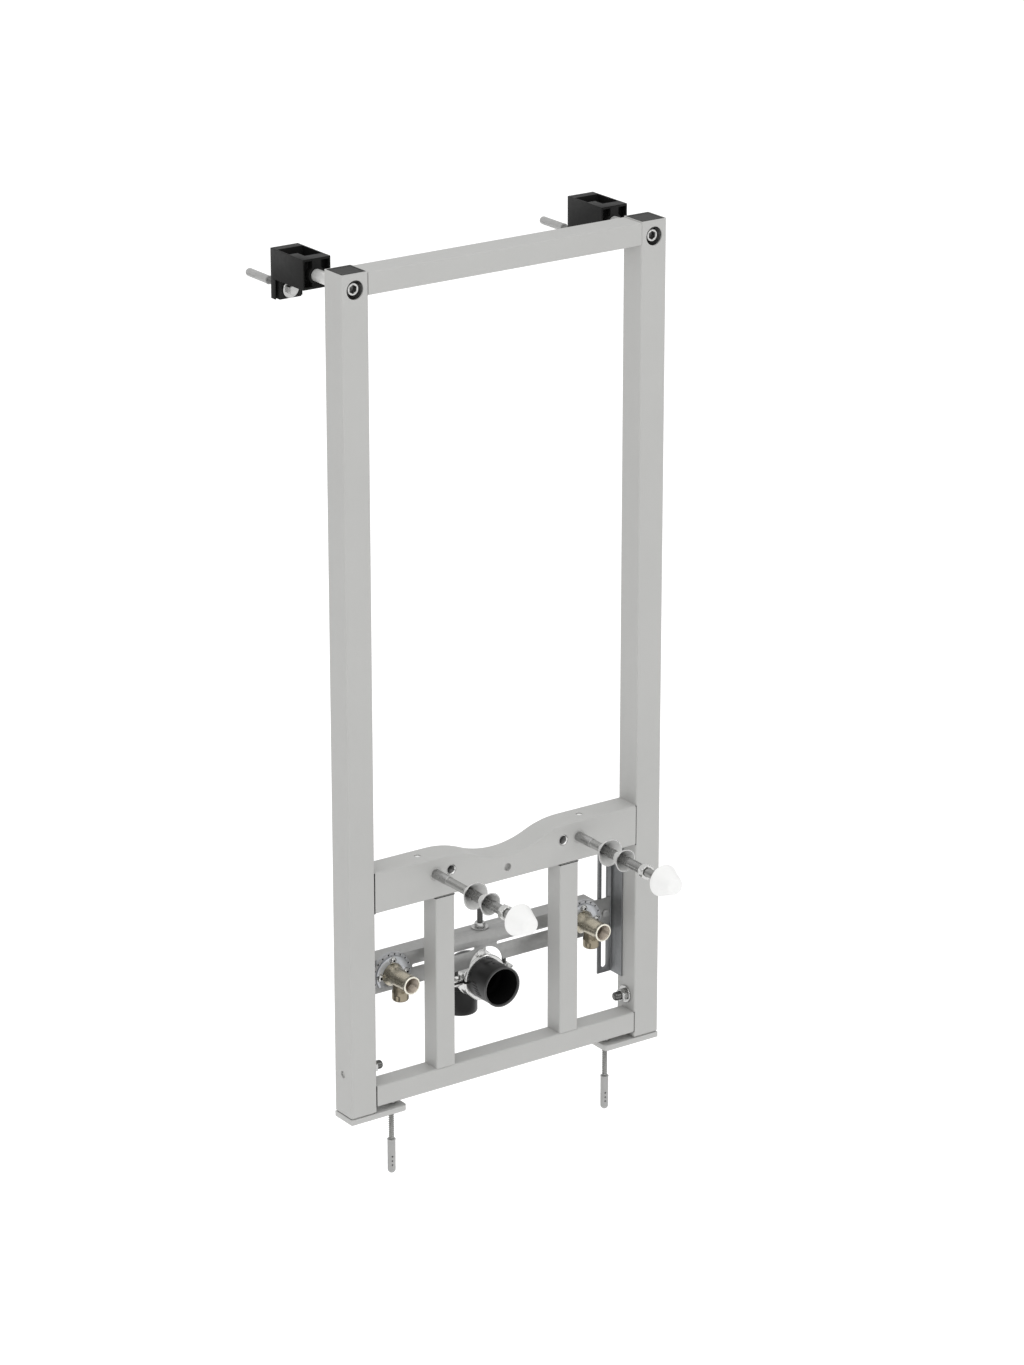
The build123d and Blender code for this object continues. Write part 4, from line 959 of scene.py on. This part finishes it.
@dataclass
class PostTops(SubAssembly):
    """Caps of the posts and the screwed rods behind their front holes."""

    post_x: float = 230.0
    mid_y: float = 20.0
    post_top: float = 1153.0
    cap_half: float = 18.0
    cap_corner: float = 1.4
    cap_wall: float = 2.5
    cap_proud: float = 0.4
    cap_sunk: float = 0.5
    rod_height: float = 1132.0
    rod_radius: float = 8.0
    rod_front: float = 4.0
    rod_end: float = 121.0
    socket_across: float = 10.0
    socket_depth: float = 8.0

    def build(self) -> None:
        """Builds both sides."""
        for name, side in SIDES:
            self._cap(name, side)
            self._rod(name, side)

    def _square(self, inset: float, corner: float) -> np.ndarray:
        """Rounded square outline set in from the lid's edge."""
        half = self.cap_half - inset
        return rounded_block(half, half, corner, 80)

    def _cap(self, name: str, side: int) -> None:
        """Rounded square lid with a raised rim round a slightly sunk middle, over its plug."""
        piece, square, corner = Piece(f"{name}_post_lid"), self._square, self.cap_corner
        plug, lid, sunk = square(0.3, corner), square(0.0, corner), square(2.5, 1.0)
        top, base = self.post_top + self.cap_proud, self.post_top - self.cap_wall
        levels = [(plug * 0, base - 9.0), (plug * 0.93, base - 9.3), (plug, base - 8.6), (plug, base)]
        levels += [(lid, base), (lid, top - 0.35), (square(0.35, corner), top), (square(1.8, 1.2), top)]
        levels += [(sunk * share, top - self.cap_sunk) for share in (1.0, 0.5, 0.0)]
        piece.add(lofted(levels), Along.UP, (side * self.post_x, self.mid_y, 0.0))
        self.dress(piece, ("cap_plastic",), "cap_plastic", f"{name}_post_cap")

    def _rod(self, name: str, side: int) -> None:
        """Smooth rod with an eased front edge and a hexagon socket in it, the socket painted in the dark dull
        steel as painted shade.
        """
        piece, place = Piece(f"{name}_distance_rod"), (side * self.post_x, self.rod_front, self.rod_height)
        length = self.rod_end - self.rod_front
        rod = socket_screw(self.rod_radius, -length, 0.0, self.socket_across, self.socket_depth, 1.0)
        piece.add(rod[:SOCKET_ROW + 1], Along.FRONT, place)
        # The socket's rows take the dark dull steel as painted shade.
        piece.add(rod[SOCKET_ROW:], Along.FRONT, place, 1)
        self.dress(piece, ("rod_steel", "dull_steel"), "bright_steel", f"{name}_wall_rod")


@dataclass
class DrainSet(SubAssembly):
    """Black drain elbow, the clamp round it and the threaded rod up to the rear rail."""

    axis_height: float = 131.5
    front: float = 12.0
    outside: float = 28.0
    wall: float = 3.0
    socket_end: float = 82.0
    bend_outside: float = 25.0
    bend_back: float = 112.0
    bend_radius: float = 27.0
    spigot_outside: float = 23.0
    spigot_length: float = 38.0
    bottom: float = 63.0
    clamp_front: float = 52.0
    clamp_width: float = 27.0
    band: float = 4.5
    lug_reach: float = 17.5
    lug_width: float = 17.0
    lug_thickness: float = 2.5
    lug_gap: float = 3.0
    screw_radius: float = 3.0
    screw_from_band: float = 6.5
    screw_above: float = 17.0
    boss_across: float = 15.0
    boss_height: float = 8.0
    rod_radius: float = 4.0
    rail_top: float = 200.5
    rod_above: float = 28.0
    rod_washer: tuple = (12.0, 1.6)
    rod_nut: tuple = (13.0, 6.5)

    @property
    def straight(self) -> float:
        """Length of the drain's line before its bend."""
        return self.bend_back - self.bend_radius - self.front

    @property
    def arc(self) -> float:
        """Length of its line in the bend."""
        return self.bend_radius * math.pi / 2

    def build(self) -> None:
        """Builds the drain, its clamp and its rod."""
        self._elbow()
        self._clamp()
        self._rod()

    def _bent(self, profile: list, steps: int = 96) -> np.ndarray:
        """Carries circles along the drain's line: straight back, a quarter turn, then straight down.

        The turn angle grows with the distance past the straight run over the bend's radius, and the
        place is the integral of that direction.

        Args:
            profile: points (distance along the line, radius).
            steps: points round the pipe.

        Returns:
            Grid of points in the setting-out frame.
        """
        run, radius = np.array(profile).T
        turn = np.clip((run - self.straight) / self.bend_radius, 0, math.pi / 2)
        down = np.clip(run - self.straight - self.arc, 0, None)
        y = self.front + np.minimum(run, self.straight) + self.bend_radius * np.sin(turn)
        z = self.axis_height - self.bend_radius * (1 - np.cos(turn)) - down
        x, up = np.moveaxis(ring_points(radius[:, None], ring_angles(steps)), -1, 0)
        tilt_y, tilt_z = np.sin(turn)[:, None] * up, np.cos(turn)[:, None] * up
        return np.stack([x, y[:, None] + tilt_y, z[:, None] + tilt_z], axis=-1)

    def _elbow(self) -> None:
        """Socket with a thin lip painted lighter as a painted highlight, bend and spigot, with its bore
        painted near black as painted shade, and small moulded marks.
        """
        piece, outside, end = Piece("drain_elbow_body"), self.outside, self.spigot_outside
        whole = self.straight + self.arc + self.axis_height - self.bend_radius - self.bottom
        barrel, bore, rim = outside - 0.35, end - self.wall, outside - self.wall
        socket, spigot = self.socket_end - self.front, whole - self.spigot_length
        lip = [(2.6, rim), (0.5, rim + 1.0), (0.0, rim + 1.6), (0.0, outside - 0.7), (0.6, outside)]
        outer = [lip[-1], (1.8, outside), (2.4, barrel)]
        outer += [(run, barrel) for run in np.linspace(5, socket - 8, 12)]
        outer += [(socket - 6, outside), (socket - 1, outside), (socket, outside - 0.6)]
        outer += [(run, self.bend_outside) for run in np.linspace(socket + 3, spigot, 22)]
        outer += [(spigot + 1, end)] + [(run, end) for run in np.linspace(spigot + 3, whole - 2, 6)]
        outer += [(whole - 0.6, end - 0.6), (whole, end - 1.2), (whole, bore)]
        inner = [(whole, bore)] + [(run, bore) for run in np.linspace(whole - 1, 42, 26)]
        inner += [(40.0, rim), lip[0]]
        # The lip takes the lighter black as a painted highlight and the bore the near black as painted shade.
        for part, profile in ((1, lip), (0, outer), (2, inner)):
            piece.add(self._bent(profile), part=part)
        self._marks(piece, barrel)
        looks = ("drain_plastic", "lip_plastic", "dark_gap")
        self.dress(piece, looks, "drain_plastic", "drain_elbow", crease=35.0)

    def _marks(self, piece: Piece, radius: float) -> None:
        """Raised moulded bars on the left of the barrel and two pads with rounded ends on its top.

        Each is a low pad bent round the barrel: a rounded outline whose one side is an angle.

        Args:
            piece: the piece that gets them.
            radius: radius of the barrel.
        """
        pads = [(20.0 + 2.2 * bar, 5.5, 205.0 - 8 * bar, 1.1) for bar in range(5)]
        pads += [(30.0, 3.0, 96.0, 6.5), (22.0, 1.1, 88.0, 2.2)]
        for along, half_long, at, half_wide in pads:
            outline = rounded_block(half_long, half_wide, min(half_long, half_wide) * 0.9, 40)
            rows = []
            for share, lift in ((1.0, -0.2), (1.0, 0.4), (0.82, 0.6), (0.0, 0.6)):
                run, side = (outline * share).T
                x, z = ring_points(radius + lift, math.radians(at) + side / radius).T
                rows.append(np.stack([x, self.front + along + run, self.axis_height + z], axis=-1))
            piece.add(np.stack(rows))

    def _clamp(self) -> None:
        """Two half bands with raised edges, their lugs with screws, and the boss under the rod."""
        piece = Piece("pipe_clamp_band")
        inner, outer, width = self.outside, self.outside + self.band, self.clamp_width
        section = [(inner, 0.0), (outer - 1.0, 0.0), (outer - 0.2, 0.5), (outer, 1.6), (outer, 3.6)]
        section += [(outer - 0.9, 5.0), (outer - 1.2, 8.0), (outer - 1.0, width / 2)]
        section += [(radius, width - height) for radius, height in reversed(section[:-1])]
        gap = math.asin(self.lug_gap / 2 / inner)
        for start in (0.0, math.pi):
            arc = np.linspace(start + gap, start + math.pi - gap, 73)
            half_band = swept_section(np.array(section), arc)
            piece.add(half_band, Along.BACK, (0.0, self.clamp_front, self.axis_height))
        for side in (-1, 1):
            self._lugs(piece, side, outer)
        angle, top = ring_angles(40), outer + self.boss_height
        hexagon = hexagon_radius(angle, self.boss_across)
        levels = [(hexagon * 1.08, inner + 2.0), (hexagon * 1.04, outer + 0.2), (hexagon, outer + 1.4)]
        levels += [(hexagon, top - 1.0), (hexagon * 0.93, top), (4.7, top), (4.1, top - 0.7)]
        levels += [(4.1, outer), (0.0, outer)]
        piece.add(rings(levels, angle), Along.UP, (0.0, self.clamp_front + width / 2, self.axis_height))
        self.dress(piece, ("clamp_steel", "dull_steel"), "bright_steel", "pipe_clamp")

    def _lugs(self, piece: Piece, side: int, outer: float) -> None:
        """Adds one side's two lugs and the screw through them, its head below and its nut above.

        Args:
            piece: the piece that gets them.
            side: -1 on the left, 1 on the right.
            outer: outside radius of the band.
        """
        middle_y, half = self.clamp_front + self.clamp_width / 2, (self.lug_reach + 1.5) / 2
        place = (side * (outer - 1.5 + half), middle_y, self.axis_height)
        tongue = rounded_block(half, self.lug_width / 2, 4.0)
        low, high = self.lug_gap / 2, self.lug_gap / 2 + self.lug_thickness
        piece.add(slab(tongue, low, high), Along.UP, place)
        piece.add(slab(tongue, -high, -low), Along.UP, place)
        screw_at = (side * (outer + self.screw_from_band), middle_y, self.axis_height)
        thread = ThreadForm(1.0, 0.55)
        piece.add(thread.rod(self.screw_radius, -high - 1.0, self.screw_above, 0.8), Along.UP, screw_at, 1)
        nut = hex_nut(10.0, high, high + 5.0, self.screw_radius + CLEARANCE)
        piece.add(nut, Along.UP, screw_at, closed=True)
        piece.add(socket_screw(4.9, high, high + 4.0, 4.0, 2.2, 1.6), Along.DOWN, screw_at, 1)

    def _rod(self) -> None:
        """Threaded rod with a washer and a nut where it comes through the rail."""
        piece, origin = Piece("clamp_threaded_rod"), (0.0, self.clamp_front + self.clamp_width / 2, 0.0)
        start, rail = self.axis_height + self.outside + self.band, self.rail_top
        hole = self.rod_radius + CLEARANCE
        rod = ThreadForm(1.25, 0.7).rod(self.rod_radius, start, rail + self.rod_above)
        (radius, thickness), (across, height) = self.rod_washer, self.rod_nut
        seat = rail + thickness
        piece.add(rod, Along.UP, origin)
        piece.add(collar(radius, hole, rail, seat, 0.35), Along.UP, origin, 1, closed=True)
        piece.add(hex_nut(across, seat, seat + height, hole), Along.UP, origin, 1, closed=True)
        self.dress(piece, ("dull_steel", "bright_steel"), "bright_steel", "clamp_rod", crease=40.0)


@dataclass
class WaterElbows(SubAssembly):
    """The two plated water elbows and the round plates that hold them on the rear rail."""

    spacing: float = 310.0
    height: float = 178.0
    front: float = -3.0
    outside: float = 12.5
    bore: float = 10.0
    bore_depth: float = 16.0
    thread_pitch: float = 2.0
    outlet_back: float = 25.5
    outlet_outside: float = 11.25
    outlet_drop: float = 30.0
    outlet_slots: tuple = (200.0, 320.0, 80.0)
    plate_radius: float = 30.5
    plate_back: float = 51.0
    plate_front: float = 45.0
    dimples: int = 18
    flange_radius: float = 25.5
    flange_front: float = 43.0
    cut_below: float = 14.5
    screw_radius: float = 4.5
    screw_circle: float = 20.5
    screw_height: float = 4.0

    def build(self) -> None:
        """Builds both sides."""
        for name, side in SIDES:
            x = side * self.spacing / 2
            self._body(name, x)
            self._plate(name, x)

    def _body(self, name: str, x: float) -> None:
        """Barrel with a bright lip and a threaded mouth, and the outlet below it."""
        piece, mouth = Piece(f"{name}_elbow_body"), (x, self.flange_front, self.height)
        reach, radius, bore = self.flange_front - self.front, self.outside, self.bore
        lip = [(bore + 0.5, reach - 0.1), (bore + 0.9, reach), (radius - 0.5, reach), (radius, reach - 0.5)]
        lip += [(radius, reach - 1.4), (radius - 0.3, reach - 1.8)]
        body = [lip[-1], (radius - 0.45, reach - 8), (radius - 0.45, reach - 20), (radius - 0.5, reach - 32)]
        body += [(radius - 0.3, 8.5), (radius + 0.6, 6.0), (radius + 2.6, 2.0), (radius + 3.6, 0.0)]
        body.append((0.0, 0.0))
        piece.add(turned(lip, 72), Along.FRONT, mouth, 1)
        piece.add(turned(body, 72), Along.FRONT, mouth)
        piece.add(self._thread(reach - 0.1), Along.FRONT, mouth, 2)
        piece.add(self._outlet(), Along.DOWN, (x, self.outlet_back, self.height), 3)
        looks = ("plated_brass", "lip_brass", "thread_brass", "outlet_brass")
        self.dress(piece, looks, "nickel_brass", f"{name}_water_elbow", crease=40.0)

    def _thread(self, mouth: float) -> np.ndarray:
        """Internal thread from the mouth inwards, flared there and closed by the socket's bottom."""
        angle, depth = ring_angles(60), np.linspace(0, self.bore_depth, 80)[:, None]
        wave = thread_wave(depth / self.thread_pitch - angle / TAU)
        flare = np.clip(1 - depth / 1.0, 0, 1) * 0.5
        wall = self.bore - 0.75 * wave * np.clip(depth / 1.2, 0, 1) + flare
        floor = rings([(0.0, mouth - self.bore_depth)], angle)
        return np.concatenate([polar(wall, angle, mouth - depth), floor])

    def _outlet(self) -> np.ndarray:
        """Outlet pointing down: a collar with a rounded lower edge, three dents round it and its bore."""
        radius, drop = self.outlet_outside, self.outlet_drop
        rim = [(radius - 1.0, 6.0), (radius - 1.0, 15.5), (radius - 0.2, 16.5), (radius, 17.2)]
        rim += [(radius, height) for height in (19.0, *np.linspace(20, drop - 3.2, 10))]
        rim += [(radius - 0.25, drop - 2.0), (radius - 0.9, drop - 0.8), (radius - 1.9, drop)]
        bore = [(8.7, drop), (8.5, drop - 0.5), (8.5, drop - 13.0), (0.0, drop - 13.0)]
        grid, angle = turned(rim + bore, 96), ring_angles(96)
        band = np.exp(-(((grid[..., 2] - drop + 5.5) / 3.4) ** 6))
        cut = sum(np.exp(-((angle_from(angle, at) / 0.17) ** 4)) * band for at in self.outlet_slots)
        cut[len(rim) - 1:] = 0
        grid[..., :2] *= (1 - cut * 1.2 / radius)[..., None]
        return grid

    def _cut_ring(self, radius: float, angle: np.ndarray) -> np.ndarray:
        """Outline of a disc that is flat below: the radius, or where less the distance to the flat."""
        below = np.clip(-np.sin(angle), 1e-6, None)
        return ring_points(np.minimum(radius, self.cut_below / below), angle)

    def _cut_rings(self, levels: list[tuple[float, float]], angle: np.ndarray) -> np.ndarray:
        """Surface through such outlines, each a radius and a height."""
        return lofted([(self._cut_ring(radius, angle), height) for radius, height in levels])

    def _plate(self, name: str, x: float) -> None:
        """Base plate with a ring of small dimples painted near black as painted shade, the inner flange and
        three socket screws.
        """
        piece, place = Piece(f"{name}_elbow_base"), (x, self.plate_back, self.height)
        angle, front = ring_angles(432), self.plate_back - self.plate_front
        top = self.plate_back - self.flange_front
        outer, inner = self.plate_radius, self.flange_radius
        levels = [(0.01, 0.0), (outer - 0.4, 0.0), (outer, 0.5), (outer, front - 0.6)]
        spoke = np.angle(np.exp(1j * angle * self.dimples)) / self.dimples
        rows, dark = [self._cut_rings(levels, angle)], [np.zeros(len(levels) * len(angle), int)]
        for radius in np.linspace(outer - 0.5, inner + 0.2, 16):
            reach = np.hypot(spoke * radius, radius - (outer + inner) / 2)
            dimple = np.exp(-((reach / 1.2) ** 4)) * (np.sin(angle) > -0.35)
            rows.append(np.column_stack([self._cut_ring(radius, angle), front - 1.3 * dimple])[None])
            # The dimples take the near black as painted shade.
            dark.append(np.where(dimple > 0.35, 3, 0))
        piece.add(np.concatenate(rows), Along.FRONT, place, np.concatenate(dark[:-1]))
        flange = [(inner, front - 0.5), (inner, top - 0.6), (inner - 0.25, top - 0.2), (inner - 0.7, top)]
        flange += [(17.5, top), (17.0, top - 0.25), (self.outside, top - 0.25), (0.01, top - 0.3)]
        piece.add(self._cut_rings(flange, angle), Along.FRONT, place, 1)
        for at in (0, 90, 180):
            self._screw(piece, x, math.radians(at))
        looks = ("plate_steel", "flange_steel", "bright_steel", "dark_gap", "nut_steel")
        self.dress(piece, looks, "bright_steel", f"{name}_elbow_plate")

    def _screw(self, piece: Piece, x: float, turn: float) -> None:
        """Adds a socket screw on its seat, at an angle round the elbow's axis, its socket painted near black
        as painted shade.
        """
        circle, radius = self.screw_circle, self.screw_radius
        spot = (x + circle * math.cos(turn), self.flange_front, self.height + circle * math.sin(turn))
        piece.add(collar(radius + 0.9, 0.0, -0.1, 0.5, 0.25), Along.FRONT, spot, 2)
        head = socket_screw(radius, 0.3, self.screw_height, 3.8, 2.2, 2.6)
        piece.add(head[:SOCKET_ROW + 1], Along.FRONT, spot, 4)
        # The socket takes the near black as painted shade.
        piece.add(head[SOCKET_ROW:], Along.FRONT, spot, 3)


@dataclass
class SeamShadows(SubAssembly):
    """Painted shadow lines where the tubes meet."""

    proud: float = 0.06
    line: float = 0.45
    beam: tuple = (291.8, 348.8)
    bottom_rail: tuple = (16.5, 46.5)
    inner_post: tuple = (85.0, 115.0)
    post_inner: float = 210.0
    depth: float = 30.0

    def build(self) -> None:
        """Each painted shadow line is a thin box that stands a hair out of the tubes it runs between."""
        piece, proud, line, under = Piece("tube_seams"), self.proud, self.line, self.beam[0]
        for _, side in SIDES:
            low, high = sorted(side * edge for edge in self.inner_post)
            top = (high + proud, self.depth + proud, under - 0.05)
            piece.add(box_grid((low - proud, -proud, under - 1.3), top))
            edge = side * self.post_inner
            for bottom, top in (self.beam, self.bottom_rail):
                piece.add(box_grid((edge - line, -proud, bottom), (edge + line, 1.0, top)))
        self.dress(piece, ("seam_shadow",), "frame_paint")


@dataclass
class EasedSheetParts(SubAssembly):
    """Bent sheet and moulded parts whose CAD shape is right, finished with small rounded edges."""

    parts: tuple = (
        ("side_bracket", "bracket_steel", "zinc_sheet", "frame", 0.35),
        ("wall_bracket", "bracket_plastic", "black_plastic", "frame", 0.45),
        ("foot_leg", "painted_foot", "frame_paint", "foot", 0.5),
    )

    def build(self) -> None:
        """Makes an eased copy of each part, both sides, and of the rear rail."""
        for name, _ in SIDES:
            for part, finish, slot, body, width in self.parts:
                rides = f"{name}_foot" if body == "foot" else body
                self._eased(f"{name}_{part}", finish, slot, rides, width)
        self._eased("rear_rail", "rail_steel", "zinc_sheet", "frame", 0.4)

    def _eased(self, node: str, finish: str, slot: str, body: str, width: float) -> None:
        """Copies a node, merges its faces and rounds its edges with a bevel.

        Args:
            node: the CAD node.
            finish: name of the finish.
            slot: the record's material slot; not used.
            body: the body it rides on.
            width: width of the rounded edge in millimetres.
        """
        source = self.nodes[node]
        mesh = source.data.copy()
        mesh.name = f"{node}_eased"
        work = bmesh.new()
        work.from_mesh(mesh)
        bmesh.ops.remove_doubles(work, verts=work.verts, dist=MERGE_DISTANCE)
        bmesh.ops.dissolve_limit(work, angle_limit=math.radians(0.5), verts=work.verts, edges=work.edges)
        bmesh.ops.recalc_face_normals(work, faces=work.faces)
        work.to_mesh(mesh)
        work.free()
        mesh.materials.clear()
        mesh.materials.append(self.materials[finish])
        mesh.shade_smooth()
        piece = bpy.data.objects.new(f"{node}_eased", mesh)
        piece.matrix_world = source.matrix_world.copy()
        bpy.context.scene.collection.objects.link(piece)
        bevel = piece.modifiers.new("eased_edges", "BEVEL")
        bevel.width = width * MM
        bevel.segments = 2
        bevel.limit_method = "ANGLE"
        bevel.angle_limit = math.radians(40.0)
        bevel.harden_normals = True
        bevel.use_clamp_overlap = True
        self.bind(piece, slot, node, body)


@dataclass
class Studio:
    """Floor, lights and camera of the photograph; lengths here are in metres."""

    setting: SettingOut
    horizon: float = 0.56
    zenith: float = 1.06
    floor_half: float = 40.0
    feet_travel: float = 0.2

    def build(self) -> None:
        """Makes the floor, the light and the camera."""
        self._floor()
        self._world()
        self._area("top_softbox", (-0.6, -1.6, 3.4), (0.0, 0.0, 0.6), 3.0, 22.0)
        self._area("left_glint", (-2.2, -1.9, 2.2), (0.0, 0.0, 0.4), 0.8, 8.0)
        self._area("right_glint", (1.9, -2.3, 1.7), (0.0, 0.0, 0.3), 0.8, 5.0)
        self._camera()

    def _floor(self) -> None:
        """Plain pale floor under the lowest point that the drawn out feet reach."""
        level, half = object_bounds()[0][2] - self.feet_travel, self.floor_half
        mesh = bpy.data.meshes.new("pale_floor")
        corners = [(-half, -half, level), (half, -half, level), (half, half, level), (-half, half, level)]
        mesh.from_pydata(corners, [], [(0, 1, 2, 3)])
        material = bpy.data.materials.new("pale_floor")
        material.use_nodes = True
        set_inputs(material.node_tree.nodes["Principled BSDF"], {
            "Base Color": (0.95, 0.95, 0.95, 1.0),
            "Roughness": 0.9,
            "Specular IOR Level": 0.1,
            "Emission Color": (1.0, 1.0, 1.0, 1.0),
            "Emission Strength": 0.22,
        })
        mesh.materials.append(material)
        floor = bpy.data.objects.new("pale_floor", mesh)
        bpy.context.scene.collection.objects.link(floor)
        floor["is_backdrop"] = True

    def _world(self) -> None:
        """White room, brighter above than at the horizon, so that metal shows some contrast."""
        world = bpy.data.worlds.new("white_room")
        world.use_nodes = True
        tree = world.node_tree
        background = tree.nodes["Background"]
        place, split = tree.nodes.new("ShaderNodeTexCoord"), tree.nodes.new("ShaderNodeSeparateXYZ")
        ramp = tree.nodes.new("ShaderNodeMapRange")
        set_inputs(ramp, {"From Min": 0.0, "From Max": 0.75, "To Min": self.horizon, "To Max": self.zenith})
        ramp.interpolation_type = "SMOOTHSTEP"
        link(
            tree,
            (place.outputs["Generated"], split.inputs["Vector"]),
            (split.outputs["Z"], ramp.inputs["Value"]),
            (ramp.outputs["Result"], background.inputs["Strength"]),
        )
        set_inputs(background, {"Color": (1.0, 1.0, 1.0, 1.0)})
        bpy.context.scene.world = world
        bpy.context.scene.view_settings.view_transform = "Standard"

    def _area(self, name: str, place: tuple, target: tuple, size: float, power: float) -> None:
        """Adds a square area light.

        Args:
            name: the light's name.
            place: where it hangs, from the setting-out origin.
            target: what it points at, from the setting-out origin.
            size: side length.
            power: power in watts.
        """
        data = bpy.data.lights.new(name, "AREA")
        data.shape, data.size, data.energy = "SQUARE", size, power
        light = bpy.data.objects.new(name, data)
        light.location = Vector((self.setting.x, self.setting.y, self.setting.z)) + Vector(place)
        light.rotation_euler = (Vector(target) - Vector(place)).to_track_quat("-Z", "Y").to_euler()
        bpy.context.scene.collection.objects.link(light)

    def _camera(self) -> None:
        """Camera at the photograph's angle, distance and framing."""
        data = bpy.data.cameras.new("photo_camera")
        data.sensor_fit, data.sensor_width = "AUTO", 36.0
        data.lens, data.clip_end = 125.56, 200.0
        camera = bpy.data.objects.new("photo_camera", data)
        camera.location = self.setting.metres(np.array((-3333.814, -4774.232, 2687.813))).tolist()
        camera.rotation_euler = (math.radians(70.0), 0.0, -math.radians(34.98))
        bpy.context.scene.collection.objects.link(camera)
        bpy.context.scene.camera = camera


def finish_nodes(nodes: dict[str, bpy.types.Object], materials: dict[str, bpy.types.Material]) -> None:
    """Gives every CAD node its finish by its name without the side."""
    finish_of = {node: finish for finish, names in FINISH_NODES.items() for node in names}
    for name, node in nodes.items():
        material = materials[finish_of[name.removeprefix("left_").removeprefix("right_")]]
        if not node.material_slots:
            node.data.materials.append(material)
        for slot in node.material_slots:
            slot.material = material


def main() -> None:
    """Builds the finishes, the sub-assemblies and the studio, in order."""
    logging.basicConfig(level=logging.INFO, format="%(name)s %(message)s")
    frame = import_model()
    setting = SettingOut.from_frame()
    materials = Finishes().materials
    finish_nodes(frame["nodes"], materials)
    assemblies = (BowlFixings, FloorAndWallFixings, PostTops, DrainSet, WaterElbows, SeamShadows, EasedSheetParts)
    for assembly in assemblies:
        assembly(setting, materials, frame["nodes"]).build()
        LOG.info("built %s", assembly.__name__)
    Studio(setting).build()


if __name__ == "__main__":
    main()
